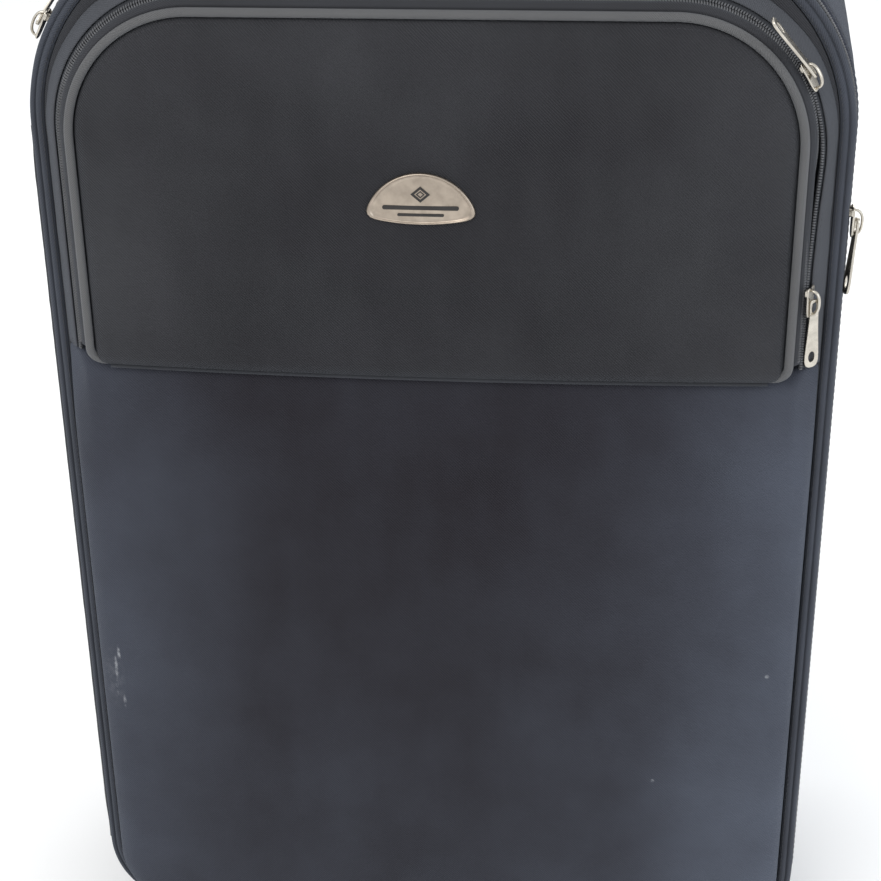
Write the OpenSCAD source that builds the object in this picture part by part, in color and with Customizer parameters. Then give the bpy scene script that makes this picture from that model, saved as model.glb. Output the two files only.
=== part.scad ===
// Softside upright suitcase: a fabric case on two wheels with a telescopic handle,
// a zipped lid hinged on its left edge and a flap pocket on the lid.
// +X is the user's right when facing the lid, the lid faces -Y, +Z is up.
// The origin is on the floor under the middle of the foot bar.

/* [Case] */
// Width of the case body
body_w = 450; // [440:5:460]
// Height of the case body, without wheels and handles
body_h = 652; // [640:2:664]
// Height of the body's underside above the floor
base_z = 38; // [37:1:40]
// Depth of the rigid shell from the lid's zip to the back
shell_depth = 224; // [216:2:240]
// Wall thickness of the fabric-covered shell
shell_t = 4; // [3.6:0.1:4.2]
// Radius of the upper corners at the lid
top_r = 110; // [105:1:112]
// Radius of the upper corners at the back
top_r_back = 55; // [50:1:70]
// Radius of the lower corners
bottom_r = 68; // [64:1:70]

/* [Pocket flap] */
// Half of the flap's width over its piping
flap_half_w = 197.5; // [195:0.5:198]
// Height of the flap's top edge below the top of the body
flap_drop = 41; // [38:1:44]
// Height of the flap over its piping
flap_h = 203; // [196:1:206]
// Radius of the flap's upper corners
flap_r = 72; // [68:1:74]
// Slope of the zipped gusset, measured from the lid's face, in degrees
gusset_slope = 50; // [48:1:52]

/* [Handle and wheels] */
// Distance between the two handle tubes
tube_gap = 170; // [164:2:176]
// Outer diameter of a wheel
wheel_d = 64; // [62:1:65]
// Width of a wheel's tread
wheel_w = 20; // [18:1:21]

/* [Hidden] */

$fn = 48;
eps = 0.1;         // gap that keeps two neighbouring pieces apart
far = 400;         // longer than anything that is cut away

// Outline of the body, seen from the front
half_w = body_w / 2;
top_z = base_z + body_h;
top_arc_x = half_w - top_r;
top_arc_z = top_z - top_r;
bottom_arc_z = base_z + bottom_r;

// Layers from front to back: "fwd" values are distances in front of the origin, towards -Y
zip_fwd = 36;
zip_gap = 12;      // clear width between the two fabric edges that a zip joins
case_front = -(zip_fwd - zip_gap / 2);
case_back = case_front + shell_depth;
lid_band_fwd = zip_fwd + zip_gap / 2;
lid_face_fwd = lid_band_fwd + 5;
panel_fwd = lid_face_fwd + 16;
flap_back_fwd = panel_fwd + 1;
flap_front_fwd = flap_back_fwd + 7;

// Zips
tape_t = 0.8;
tape_drop = 2.2;   // tape surface below the case's surface
coil_gap = 0.5;    // centre line of the zip to the inner edge of a coil
coil_w = 3;
coil_h = 1.8;
tape_reach = 5.9;  // centre line of the zip to the outer edge of a tape

// Sliders and pulls
slider_len = 18;
slider_w = 10.4;
plate_t = 1.2;
slider_over = 1;   // clearance between the coils and the slider's top plate
slider_under = 0.6;
bridge_h = 2.4;    // clear height under the bridge
bridge_t = 1;
pull_len = 41;
pull_w = 8;
pull_t = 1.6;
pull_pin_r = 0.95;
plate_top = coil_h + slider_over + plate_t;
pivot_h = plate_top + bridge_h / 2;

// Places of the sliders at rest
slider_a_angle = 28;          // above the horizontal, on the upper left corner
slider_b_z = base_z + 492;
flap_slider_upper_angle = 29; // above the horizontal, on the flap's upper right corner
flap_slider_lower_z = base_z + 455;

// Flap
flap_top_z = top_z - flap_drop;
flap_low_z = flap_top_z - flap_h;
flap_edge_r = (flap_front_fwd - flap_back_fwd) / 2;
flap_axis_fwd = flap_back_fwd + flap_edge_r;
flap_axis_z = flap_low_z + flap_edge_r;
piping_r = 2.5;
slope_start = [-0.4, flap_front_fwd - 5];  // outward of the flap's outline, forward
slope_len = (slope_start[1] - lid_face_fwd - 0.6) / sin(gusset_slope);
slope_zip = 8;                             // distance down the slope to the zip's centre line
pocket_low_z = flap_low_z + 6;

// Lid hinge on the left edge
hinge_x = -half_w - 1;
hinge_r = 1;

// Telescopic handle
tube_y = case_back - 20;
outer_tube = [22, 13];
middle_tube = [18.8, 9.8];
inner_tube = [15.6, 6.6];
tube_wall = 1.2;
tube_slack = 0.4;
bezel_top = top_z + 3.5;
grip_z = bezel_top + 1.5;
grip_size = [200, 24];
grip_split = grip_z + 12;
grip_top = grip_split + 13;
grip_wall = 3;
tube_low_z = base_z + 14;

// Wheels
wheel_x = 175;
wheel_y = case_back - 32;
axle_r = 3;
hub_r = 24;
run_gap = 0.08;

// Carry handles: the wall carries two mounts, and the grip's legs slide through them
carry_span = 176;
carry_leg = [12, 4];
carry_top_y = 82;
carry_side_y = 90;
carry_side_z = 370;

// Back and inside
back_bead_r = 3;
inside = shell_t + 1.2;
board_y = case_back - 36;

// ---------- Outlines and sweeps ----------

// The body's outline, drawn in from its surface, with x across and y up
module outline(inset, r_top = top_r) {
  w = half_w - inset;
  low = base_z + inset;
  high = top_z - inset;
  rt = r_top - inset;
  rb = bottom_r - inset;
  for (s = [-1, 1]) {
    translate([s * (w - rt), high - rt]) circle(rt, $fn = 96);
    translate([s * (w - rb), low + rb]) circle(rb, $fn = 96);
  }
  translate([rt - w, low + rb]) square([2 * (w - rt), high - low - rb]);
  translate([rb - w, low]) square([2 * (w - rb), high - rt - low]);
  translate([-w, low + rb]) square([2 * w, high - rt - low - rb]);
}

// Turns a drawing in x and z into a plate between two depths
module plate(y0, y1) translate([0, y1, 0]) rotate([90, 0, 0]) linear_extrude(y1 - y0) children();

module slab(y0, y1, inset, r_top = top_r) plate(y0, y1) outline(inset, r_top);

module ring(y0, y1, inset, wall)
  plate(y0, y1) difference() { outline(inset); outline(inset + wall); }

// Four discs at the corners of the body's outline, for a hull to wrap
module corner_discs(y0, y1, inset, r_top = top_r) plate(y0, y1) for (s = [-1, 1]) {
  translate([s * (half_w - r_top), top_z - r_top]) circle(r_top - inset);
  translate([s * (half_w - bottom_r), bottom_arc_z]) circle(bottom_r - inset);
}

// The body's form between two depths: its upper corners get squarer towards the back
module tapered(y0, y1, inset) hull() {
  corner_discs(y0, y0 + 1, inset);
  corner_discs(y1 - 1, y1, inset, top_r_back);
}

// A profile in (outward, forward) carried up one side, from z0 to z1, at half width w
module sweep_up(w, z0, z1) translate([w, 0, z0]) mirror([0, 1, 0]) linear_extrude(z1 - z0) children();

// The same profile round a quarter corner about the Y axis, from angle a0
module sweep_corner(x, z, r, a0)
  translate([x, 0, z]) rotate([90, 0, 0]) rotate([0, 0, a0])
    rotate_extrude(angle = 90, $fn = 96) translate([r, 0]) children();

// The same profile up both sides and over the top
module sweep_arch(w, z0, z1, r) {
  for (s = [0, 1]) mirror([s, 0, 0]) {
    sweep_up(w, z0, z1 - r) children();
    sweep_corner(w - r, z1 - r, r, 0) children();
  }
  translate([w - r, 0, z1]) rotate([0, -90, 0]) mirror([0, 1, 0])
    linear_extrude(2 * (w - r)) children();
}

// The same profile along the body's outline; the left edge is left out where the lid is hinged
module sweep_body(left_edge = true) {
  sweep_up(half_w, bottom_arc_z, top_arc_z) children();
  if (left_edge) mirror([1, 0, 0]) sweep_up(half_w, bottom_arc_z, top_arc_z) children();
  for (s = [0, 1]) mirror([s, 0, 0]) {
    sweep_corner(top_arc_x, top_arc_z, top_r, 0) children();
    sweep_corner(half_w - bottom_r, bottom_arc_z, bottom_r, -90) children();
  }
  translate([top_arc_x, 0, top_z]) rotate([0, -90, 0]) mirror([0, 1, 0])
    linear_extrude(2 * top_arc_x) children();
  translate([bottom_r - half_w, 0, base_z]) rotate([0, 90, 0]) mirror([0, 1, 0])
    linear_extrude(2 * (half_w - bottom_r)) children();
}

module stadium(size) {
  square([size[0] - size[1], size[1]], center = true);
  for (s = [-1, 1]) translate([s * (size[0] - size[1]) / 2, 0]) circle(d = size[1]);
}

// Upright stadium-shaped bar or hole about the Z axis
module stadium_bar(size, z0, z1) translate([0, 0, z0]) linear_extrude(z1 - z0) stadium(size);

module at_tubes() for (s = [-1, 1]) translate([s * tube_gap / 2, tube_y, 0]) children();

// ---------- Zips ----------

// Half of a zip in section: x is across the zip from its centre line, y is away from the wall
module zip_half() {
  translate([coil_gap + 0.3, -tape_t]) square([tape_reach - coil_gap - 0.3, tape_t]);
  for (x = [coil_h / 2, coil_w - coil_h / 2])
    translate([coil_gap + x, coil_h / 2]) circle(coil_h / 2);
  translate([coil_gap + coil_h / 2, 0]) square([coil_w - coil_h, coil_h]);
}

// Slider on a zip: +X is away from the wall, Z is along the zip, the origin is on the tape
module slider() {
  under = -tape_t - slider_under;
  module body_plate(x0) translate([x0, 0, 0]) rotate([0, 90, 0]) linear_extrude(plate_t) {
    stadium([slider_len, slider_w - 1.6]);
    translate([3.4 - slider_len / 2, 0]) square([4, slider_w], center = true);
  }
  color("silver") {
    body_plate(plate_top - plate_t);
    body_plate(under - plate_t);
    translate([under - eps, -0.35, 2]) cube([plate_top - under, 0.7, 5]);
    for (s = [-1, 1]) translate([plate_top - plate_t - 0.5, s * (slider_w / 2 - 0.35) - 0.35, 3.6])
      cube([0.6, 0.7, 4]);
    for (s = [-1, 1]) translate([plate_top - eps, -1.1, s * 3.6 - 0.7])
      cube([bridge_h + bridge_t / 2, 2.2, 1.4]);
    translate([plate_top + bridge_h, -1.1, -4.3]) cube([bridge_t, 2.2, 8.6]);
  }
}

// Pull hanging from the bridge, along -Z, with an eye round the bridge and an oval end hole
module pull() {
  eye_len = 7.5;
  color("silver") translate([pivot_h, 0, 0]) {
    rotate([90, 0, 0]) cylinder(r = pull_pin_r, h = pull_w - 1.2, center = true);
    translate([-pull_t / 2, 0, 0]) rotate([90, 0, 90]) linear_extrude(pull_t) difference() {
      union() {
        translate([0, -pull_len / 2]) square([pull_w, pull_len - pull_w], center = true);
        translate([0, -pull_w / 2]) circle(d = pull_w);
        translate([0, pull_w / 2 - pull_len]) circle(d = pull_w);
      }
      translate([0, -eye_len / 2 - 0.3]) square([4.2, eye_len - 1], center = true);
      translate([0, -33]) rotate([0, 0, 90]) stadium([8, 2.8]);
      translate([-pull_w / 2, 0]) square([pull_w, pull_w]);
    }
  }
}

// Places on the main zip: on the right wall at height z, and on the upper left corner
module on_right_wall(z) translate([half_w - tape_drop, -zip_fwd, z]) children();
module on_left_corner(angle)
  translate([-top_arc_x, -zip_fwd, top_arc_z]) mirror([1, 0, 0]) rotate([0, -angle, 0])
    translate([top_r - tape_drop, 0, 0]) children();

// The zip's centre line on the sloping gusset, as (outward, forward) of the flap's outline
zip_out = slope_start[0] + slope_zip * cos(gusset_slope);
zip_up = slope_start[1] - slope_zip * sin(gusset_slope);
gusset_tilt = 90 - gusset_slope;

// Draws in the slope's own axes: x down the slope, y away from its surface
module on_slope() translate(slope_start) rotate(-gusset_slope) children();

module on_flap_side(z) translate([flap_half_w + zip_out, -zip_up, z]) rotate([0, 0, -gusset_tilt]) children();
module on_flap_corner(angle)
  translate([flap_half_w - flap_r, -zip_up, flap_top_z - flap_r]) rotate([0, -angle, 0])
    translate([flap_r + zip_out, 0, 0]) rotate([0, 0, -gusset_tilt]) children();

// ---------- Case ----------

// Boxes that leave room for the wheel housings in the lower rear corners
module wheel_boxes(gap = 0.5) for (s = [-1, 1])
  translate([s * wheel_x - 23.5 - gap, wheel_y - 38 - gap, 0]) cube([47 + 2 * gap, far, 74 + gap]);

module carry_leg_slots() {
  on_top_wall() carry_legs(far, 0.5);
  on_left_wall() carry_legs(60, 0.5);
}

module main_shell() color("dimgray") difference() {
  tapered(case_front, case_back - 7, 0);
  tapered(case_front - 1, case_back - 6, shell_t);
  wheel_boxes();
  carry_leg_slots();
  translate([-109, tube_y - 12.2, top_z - 40]) cube([218, far, far]);
  screw_holes_base(1.9);
}

module back_panel() color("dimgray") difference() {
  slab(case_back - 6.8, case_back - 1.8, 6.6, top_r_back);
  wheel_boxes();
  screw_holes_rail(2);
  translate([-109, tube_y, top_z - 15]) cube([218, far, far]);
}

module back_bead() translate([-back_bead_r - 0.2, 3.7 - case_back]) circle(back_bead_r);

module back_piping() color("black") difference() {
  union() {
    for (s = [0, 1]) mirror([s, 0, 0]) {
      sweep_up(half_w, bottom_arc_z, top_z - top_r_back) back_bead();
      sweep_corner(half_w - top_r_back, top_z - top_r_back, top_r_back, 0) back_bead();
      sweep_corner(half_w - bottom_r, bottom_arc_z, bottom_r, -90) back_bead();
    }
    translate([half_w - top_r_back, 0, top_z]) rotate([0, -90, 0]) mirror([0, 1, 0])
      linear_extrude(body_w - 2 * top_r_back) back_bead();
    translate([bottom_r - half_w, 0, base_z]) rotate([0, 90, 0]) mirror([0, 1, 0])
      linear_extrude(body_w - 2 * bottom_r) back_bead();
  }
  wheel_boxes();
  translate([-114, tube_y, top_z - 15]) cube([228, far, far]);
}

module frame_hoop() color("gray") sweep_body()
  translate([-inside - 2.7, -case_front - 7]) circle(2.5);

module side_lining() color("slategray") difference() {
  ring(case_front + 14, board_y - 1, inside, 1.2);
  wheel_boxes();
  carry_leg_slots();
}

module cover_board() color("slategray") difference() {
  slab(board_y, board_y + 3, inside + 2);
  wheel_boxes();
}

module packing_straps() color("black") for (s = [-1, 1])
  translate([s * 115 - 90, board_y - 3.5, 347]) cube([180, 1.5, 25]);

module strap_buckle() color("black") {
  // socket
  difference() {
    translate([-24, board_y - 9.5, 341]) cube([30, 9, 37]);
    translate([-16, board_y - 8, 344]) cube([30, 6, 31]);
  }
  // plug with its two spring arms
  translate([6.5, board_y - 9, 342]) cube([17, 8, 35]);
  for (z = [346, 367]) translate([-12, board_y - 7, z]) cube([19, 4, 6]);
}

// ---------- Base and wheels ----------

base_screws = [for (x = [-120, 0, 120], y = [40, 150]) [x, y]];
rail_screws = [for (x = [-120, 120], z = [110, 560]) [x, z]];
screw_r = 1.8;
head_r = 3.6;
head_h = 2.2;
screw_len = 11;

module screw() {
  cylinder(r = head_r, h = head_h);
  cylinder(r = screw_r, h = screw_len);
}

module screw_holes_base(r) for (p = base_screws) translate([p[0], p[1], 0]) cylinder(r = r, h = 60);
module screw_holes_rail(r) for (p = rail_screws)
  translate([p[0], case_back + far / 8, p[1]]) rotate([90, 0, 0]) cylinder(r = r, h = 60);

module screws() color("gray") {
  for (p = base_screws) translate([p[0], p[1], base_z - 3.8 - head_h]) screw();
  for (p = rail_screws) translate([p[0], case_back + 5.2, p[1]]) rotate([90, 0, 0]) screw();
}

module base_foot() color("black") difference() {
  union() {
    translate([-140, 10, base_z - 3.7]) cube([280, 165, 3.4]);
    for (s = [-1, 1]) translate([s * 101, 0, 0]) cylinder(r = 14, h = base_z - 0.3);
    translate([-101, -14, 0]) cube([202, 28, base_z - 0.3]);
  }
  for (x = [-98, 36]) translate([x, -10, 4]) cube([62, 20, far]);
  translate([-30, -10, 4]) cube([60, 20, far]);
  screw_holes_base(screw_r + 0.1);
}

module wheel_housing(s) color("black") difference() {
  bore_w = 8;
  well_w = wheel_w + 4;
  union() {
    intersection() {
      translate([s * wheel_x - 23, wheel_y - 37.5, 36]) cube([46, 74.5, 37.5]);
      slab(0, case_back + 10, -2);
    }
    for (t = [-1, 1]) translate([s * wheel_x + t * (well_w + bore_w) / 2, wheel_y, 0]) {
      translate([-bore_w / 2, 0, wheel_d / 2]) rotate([0, 90, 0]) cylinder(r = 10, h = bore_w);
      translate([-bore_w / 2, -10, wheel_d / 2]) cube([bore_w, 20, 30]);
    }
  }
  translate([s * wheel_x - well_w / 2, wheel_y, wheel_d / 2]) rotate([0, 90, 0])
    cylinder(r = wheel_d / 2 + 3.5, h = well_w);
  translate([s * wheel_x - 30, wheel_y, wheel_d / 2]) rotate([0, 90, 0])
    cylinder(r = axle_r + 0.02, h = 60);
}

module wheel_axles() color("silver") for (s = [-1, 1])
  translate([s * wheel_x, wheel_y, wheel_d / 2]) rotate([0, s * 90, 0]) {
    translate([0, 0, -21]) cylinder(r = axle_r, h = 42);
    translate([0, 0, -22.6]) cylinder(r = axle_r + 0.9, h = 1.8);
  }

module wheel_hub(s) color("gray") translate([s * wheel_x, wheel_y, wheel_d / 2]) rotate([0, 90, 0])
  difference() {
    union() {
      cylinder(r = hub_r, h = wheel_w - 4, center = true);
      cylinder(r = 8, h = wheel_w + 2, center = true);
    }
    cylinder(r = axle_r + run_gap, h = far, center = true);
    for (a = [0:60:300]) rotate([0, 0, a]) translate([15.5, 0, 0]) cylinder(r = 3.6, h = far, center = true);
  }

module tyre(s) color("black") translate([s * wheel_x, wheel_y, wheel_d / 2]) rotate([0, 90, 0])
  rotate_extrude($fn = 96) {
    shoulder = 3;
    translate([hub_r + 0.04, -wheel_w / 2]) square([wheel_d / 2 - hub_r - shoulder, wheel_w]);
    translate([wheel_d / 2 - shoulder - 0.04, shoulder - wheel_w / 2])
      square([shoulder + 0.04, wheel_w - 2 * shoulder]);
    for (t = [-1, 1]) translate([wheel_d / 2 - shoulder, t * (wheel_w / 2 - shoulder)]) circle(shoulder);
  }

module skid_rails() color("black") difference() {
  for (s = [-1, 1]) translate([s * 120, case_back + 7, 335]) rotate([90, 0, 0]) rotate([0, 0, 90])
    linear_extrude(8.6) stadium([520, 15]);
  screw_holes_rail(screw_r + 0.1);
  for (p = rail_screws) translate([p[0], case_back + 4.9, p[1]]) mirror([0, 1, 0]) rotate([90, 0, 0])
    translate([0, 0, -1.9]) cylinder(r = head_r + 0.2, h = 9);
}

// ---------- Telescopic handle ----------

function grown(size, by) = [size[0] + by, size[1] + by];
function bore_of(size) = grown(size, -2 * tube_wall);

module tube(size, z0, z1, wall) difference() {
  stadium_bar(size, z0, z1);
  stadium_bar(grown(size, -2 * wall), z0 - 1, z1 + 1);
}

module outer_tubes() color("silver") at_tubes() tube(outer_tube, tube_low_z, top_z - 4, 1.4);

module middle_tubes() color("silver") at_tubes() tube(middle_tube, tube_low_z + 12, bezel_top, 1.4);

module inner_tubes() color("silver") at_tubes() difference() {
  tube(inner_tube, tube_low_z + 18, grip_z + 2.4, 1.2);
  translate([0, 0, tube_low_z + 26]) rotate([90, 0, 0]) cylinder(r = 2.1, h = far, center = true);
}

module tube_bracket() color("black") difference() {
  translate([-100, tube_y - 9.5, base_z + shell_t + 0.3]) cube([200, 19, 26]);
  at_tubes() stadium_bar(grown(outer_tube, 0.1), tube_low_z - 0.1, far);
}

module handle_bezel() color("black") difference() {
  union() {
    translate([-108, tube_y - 11.6, top_z - 16]) cube([216, 22.6, 16.5]);
    translate([0, tube_y - 1, 0]) stadium_bar([230, 29], top_z + 0.3, bezel_top);
  }
  at_tubes() {
    stadium_bar(grown(outer_tube, 0.1), 0, top_z - 3.9);
    stadium_bar(grown(middle_tube, tube_slack), 0, far * 3);
  }
}

module grip_shape(z0, z1, by) translate([0, tube_y, 0]) stadium_bar(grown(grip_size, by), z0, z1);

module grip_lower() color("black") difference() {
  grip_shape(grip_z, grip_split - eps, 0);
  grip_shape(grip_z + 2.5, far * 3, -2 * grip_wall);
  at_tubes() stadium_bar(grown(inner_tube, 0.1), 0, far * 3);
}

button_size = [40, 12];
yoke_z = grip_z + 11;

module grip_upper() color("black") difference() {
  grip_shape(grip_split + eps, grip_top, 0);
  grip_shape(0, grip_top - grip_wall, -2 * grip_wall);
  translate([0, tube_y, 0]) stadium_bar(grown(button_size, 0.5), 0, far * 3);
}

module release_button() color("gray") translate([0, tube_y, 0]) {
  stadium_bar(button_size, yoke_z + 3.1, grip_top + 2);
  stadium_bar(grown(button_size, 4), grip_top - grip_wall - 3.2, grip_top - grip_wall - 0.2);
}

module release_rods() color("silver") {
  translate([-tube_gap / 2 - 2, tube_y - 2, yoke_z]) cube([tube_gap + 4, 4, 3]);
  at_tubes() translate([0, 0, tube_low_z + 34]) cylinder(r = 1.5, h = yoke_z - tube_low_z - 33);
}

module button_springs() color("silver") for (s = [-1, 1])
  translate([s * 40, tube_y, 0]) for (z = [grip_z + 3.2 : 1.7 : yoke_z - 0.7])
    translate([0, 0, z]) rotate_extrude() translate([3.4, 0]) circle(0.5);

module lock_pins() color("silver") at_tubes()
  translate([0, 0.4, tube_low_z + 26]) rotate([90, 0, 0]) cylinder(r = 2, h = 3.6);

// ---------- Carry handles ----------

// Local axes: x along the handle, z away from the wall, the wall's surface at z = 0
module on_top_wall() translate([0, carry_top_y, top_z]) children();
module on_left_wall() translate([-half_w, carry_side_y, carry_side_z]) rotate([0, -90, 0]) children();

module carry_legs(height, gap) for (s = [-1, 1])
  translate([s * carry_span / 2 - carry_leg[0] / 2 - gap, -carry_leg[1] / 2 - gap, -24])
    cube([carry_leg[0] + 2 * gap, carry_leg[1] + 2 * gap, height]);

module carry_mounts() color("black") difference() {
  for (s = [-1, 1]) translate([s * carry_span / 2, 0, 0.2]) {
    linear_extrude(3) stadium([40, 30]);
    linear_extrude(9) stadium([30, 20]);
  }
  carry_legs(60, 0.3);
}

module carry_grip() color("black") {
  carry_legs(36, 0);
  for (s = [-1, 1]) translate([s * carry_span / 2 - 9, -4, -26]) cube([18, 8, 3]);
  translate([-100, 0, 16]) rotate([90, 0, 90]) linear_extrude(200) stadium([26, 10]);
}

module top_handle_mounts() on_top_wall() carry_mounts();
module top_handle_grip() on_top_wall() carry_grip();
module side_handle_mounts() on_left_wall() carry_mounts();
module side_handle_grip() on_left_wall() carry_grip();

// ---------- Lid ----------

// The main zip lies round the outline, sunk below the case's surface; side -1 is the case's half
module main_zip(side) color("black") sweep_body(false)
  translate([-tape_drop, zip_fwd]) rotate(-90) mirror([side < 0 ? 0 : 1, 0]) zip_half();

module main_zip_case() main_zip(-1);
module main_zip_lid() main_zip(1);

module lid_hinge_strip() color("black") {
  translate([hinge_x, -zip_fwd, bottom_arc_z + 4]) cylinder(r = hinge_r, h = top_arc_z - bottom_arc_z - 8);
  translate([hinge_x, -zip_fwd, bottom_arc_z + 4])
    cube([0.8, zip_gap / 2 + 12, top_arc_z - bottom_arc_z - 8]);
}

module main_slider_a() on_left_corner(slider_a_angle) slider();
module main_pull_a() on_left_corner(slider_a_angle) pull_up();
module main_slider_b() on_right_wall(slider_b_z) slider();
module main_pull_b() on_right_wall(slider_b_z) pull();

// The pull laid the other way along its zip
module pull_up() translate([pivot_h, 0, 0]) rotate([0, 180, 0]) translate([-pivot_h, 0, 0]) pull();

// Rounded band that forms the lid's edge between the zip and its face
module lid_band() color("dimgray") sweep_body() polygon([
  [-2, lid_band_fwd], [-3.2, lid_band_fwd + 2.2], [-6.4, lid_face_fwd - 0.8], [-10.4, lid_face_fwd],
  [-10.4, lid_face_fwd - 2.6], [-7.2, lid_face_fwd - 3.4], [-5, lid_band_fwd]
]);

module lid_board() color("dimgray") slab(-lid_face_fwd, -lid_face_fwd + 3, 10.8);

module lid_lining() color("slategray") slab(-lid_face_fwd + 3.4, -lid_face_fwd + 4.6, 12);

module pocket_panel() color("dimgray") intersection() {
  hull() {
    corner_discs(-lid_face_fwd - 1, -lid_face_fwd - 0.3, 12);
    corner_discs(-panel_fwd + 3, -panel_fwd + 4, 13);
    corner_discs(-panel_fwd, -panel_fwd + 1, 17);
  }
  translate([-half_w, -far, 0]) cube([body_w, 2 * far, pocket_low_z - 0.3]);
}

module arch_at_flap(z0) sweep_arch(flap_half_w, z0, flap_top_z, flap_r) children();

module pocket_gusset() color("dimgray") arch_at_flap(pocket_low_z) on_slope()
  translate([slope_zip + tape_reach, -tape_t]) square([slope_len - slope_zip - tape_reach, 1.4]);

module pocket_zip_lid() color("black") arch_at_flap(pocket_low_z) on_slope()
  translate([slope_zip, 0]) zip_half();

module pocket_zip_flap() color("black") arch_at_flap(pocket_low_z + 4) on_slope() {
  translate([slope_zip, 0]) mirror([1, 0]) zip_half();
  translate([0.6, -tape_t]) square([slope_zip - tape_reach - 0.5, tape_t]);
}

module flap_outline(inset) {
  w = flap_half_w - inset;
  r = flap_r - inset;
  high = flap_top_z - inset;
  for (s = [-1, 1]) translate([s * (w - r), high - r]) circle(r, $fn = 96);
  translate([r - w, flap_axis_z]) square([2 * (w - r), high - flap_axis_z]);
  translate([-w, flap_axis_z]) square([2 * w, high - r - flap_axis_z]);
}

badge_x = -4.5; // the badge sits a little left of the middle
badge_z = top_z - 140;
badge_post_x = 18;

module flap_panel() color("dimgray") difference() {
  union() {
    plate(-flap_front_fwd, -flap_back_fwd) flap_outline(2 * piping_r + 0.3);
    translate([0, -flap_axis_fwd, flap_axis_z]) rotate([0, 90, 0])
      cylinder(r = flap_edge_r, h = 2 * (flap_half_w - 2 * piping_r - 0.3), center = true);
  }
  for (s = [-1, 1]) translate([badge_x + s * badge_post_x, -flap_front_fwd - 1, badge_z - 6])
    rotate([-90, 0, 0]) cylinder(r = 1.3, h = 5);
}

module flap_piping() color("gray") {
  arch_at_flap(flap_axis_z + piping_r) translate([-piping_r, flap_front_fwd - piping_r]) circle(piping_r);
  for (s = [-1, 1]) translate([s * (flap_half_w - piping_r), piping_r - flap_front_fwd, flap_axis_z + piping_r])
    sphere(r = piping_r);
}

// Half-moon plate with two posts pressed into the flap
module badge() color("gainsboro") translate([badge_x, -flap_front_fwd, badge_z]) {
  rotate([90, 0, 0]) {
    translate([0, 0, 0.1]) linear_extrude(1.8) half_moon(0);
    translate([0, 0, 1.8]) linear_extrude(0.8) difference() { half_moon(0); half_moon(2); }
  }
  for (s = [-1, 1]) translate([s * badge_post_x, 0, -6]) rotate([-90, 0, 0])
    translate([0, 0, -0.5]) cylinder(r = 1.2, h = 4);
}

module half_moon(inset) intersection() {
  translate([0, -17]) circle(31.5 - inset, $fn = 96);
  translate([0, 116]) circle(130 - inset, $fn = 160);
  square([59.6 - 2 * inset, 60], center = true);
}

module flap_slider_upper() on_flap_corner(flap_slider_upper_angle) slider();
module flap_pull_upper() on_flap_corner(flap_slider_upper_angle) pull_up();
module flap_slider_lower() on_flap_side(flap_slider_lower_z) slider();
module flap_pull_lower() on_flap_side(flap_slider_lower_z) pull();

// ---------- Nodes ----------

main_shell();
back_panel();
back_piping();
frame_hoop();
side_lining();
cover_board();
packing_straps();
strap_buckle();
base_foot();
screws();
wheel_housing(-1);  // wheel_housing_left
wheel_housing(1);  // wheel_housing_right
wheel_axles();
wheel_hub(-1);  // wheel_hub_left
wheel_hub(1);  // wheel_hub_right
tyre(-1);  // tyre_left
tyre(1);  // tyre_right
skid_rails();
outer_tubes();
tube_bracket();
handle_bezel();
middle_tubes();
inner_tubes();
grip_lower();
grip_upper();
release_button();
release_rods();
button_springs();
lock_pins();
top_handle_mounts();
top_handle_grip();
side_handle_mounts();
side_handle_grip();
main_zip_case();
main_zip_lid();
lid_hinge_strip();
main_slider_a();
main_pull_a();
main_slider_b();
main_pull_b();
lid_band();
lid_board();
lid_lining();
pocket_panel();
pocket_gusset();
pocket_zip_lid();
pocket_zip_flap();
flap_panel();
flap_piping();
badge();
flap_slider_upper();
flap_pull_upper();
flap_slider_lower();
flap_pull_lower();
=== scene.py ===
import math

import bmesh
import bpy
import numpy as np
from mathutils import Matrix, Vector, noise


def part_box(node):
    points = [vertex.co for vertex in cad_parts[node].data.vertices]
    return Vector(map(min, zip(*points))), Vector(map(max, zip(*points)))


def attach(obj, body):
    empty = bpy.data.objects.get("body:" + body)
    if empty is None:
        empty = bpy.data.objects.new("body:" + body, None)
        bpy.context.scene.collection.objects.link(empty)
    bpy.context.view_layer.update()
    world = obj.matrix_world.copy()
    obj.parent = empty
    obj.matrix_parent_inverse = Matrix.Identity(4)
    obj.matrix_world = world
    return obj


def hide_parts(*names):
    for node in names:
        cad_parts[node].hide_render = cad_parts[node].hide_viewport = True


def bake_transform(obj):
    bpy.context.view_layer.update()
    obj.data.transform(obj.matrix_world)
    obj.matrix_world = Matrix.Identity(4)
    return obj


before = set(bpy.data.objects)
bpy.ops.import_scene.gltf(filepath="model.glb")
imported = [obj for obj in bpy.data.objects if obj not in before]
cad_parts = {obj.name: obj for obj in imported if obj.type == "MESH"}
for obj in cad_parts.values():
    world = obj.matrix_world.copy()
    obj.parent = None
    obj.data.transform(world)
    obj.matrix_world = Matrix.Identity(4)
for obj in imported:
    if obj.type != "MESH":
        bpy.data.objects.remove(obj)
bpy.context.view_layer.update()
MM = 0.001
TAU = 2 * math.pi


def node_box(node):
    """Lowest and highest corner of a CAD node, in millimetres."""
    return [np.array(corner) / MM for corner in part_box(node)]


def middle(node):
    return sum(node_box(node)) / 2


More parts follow.
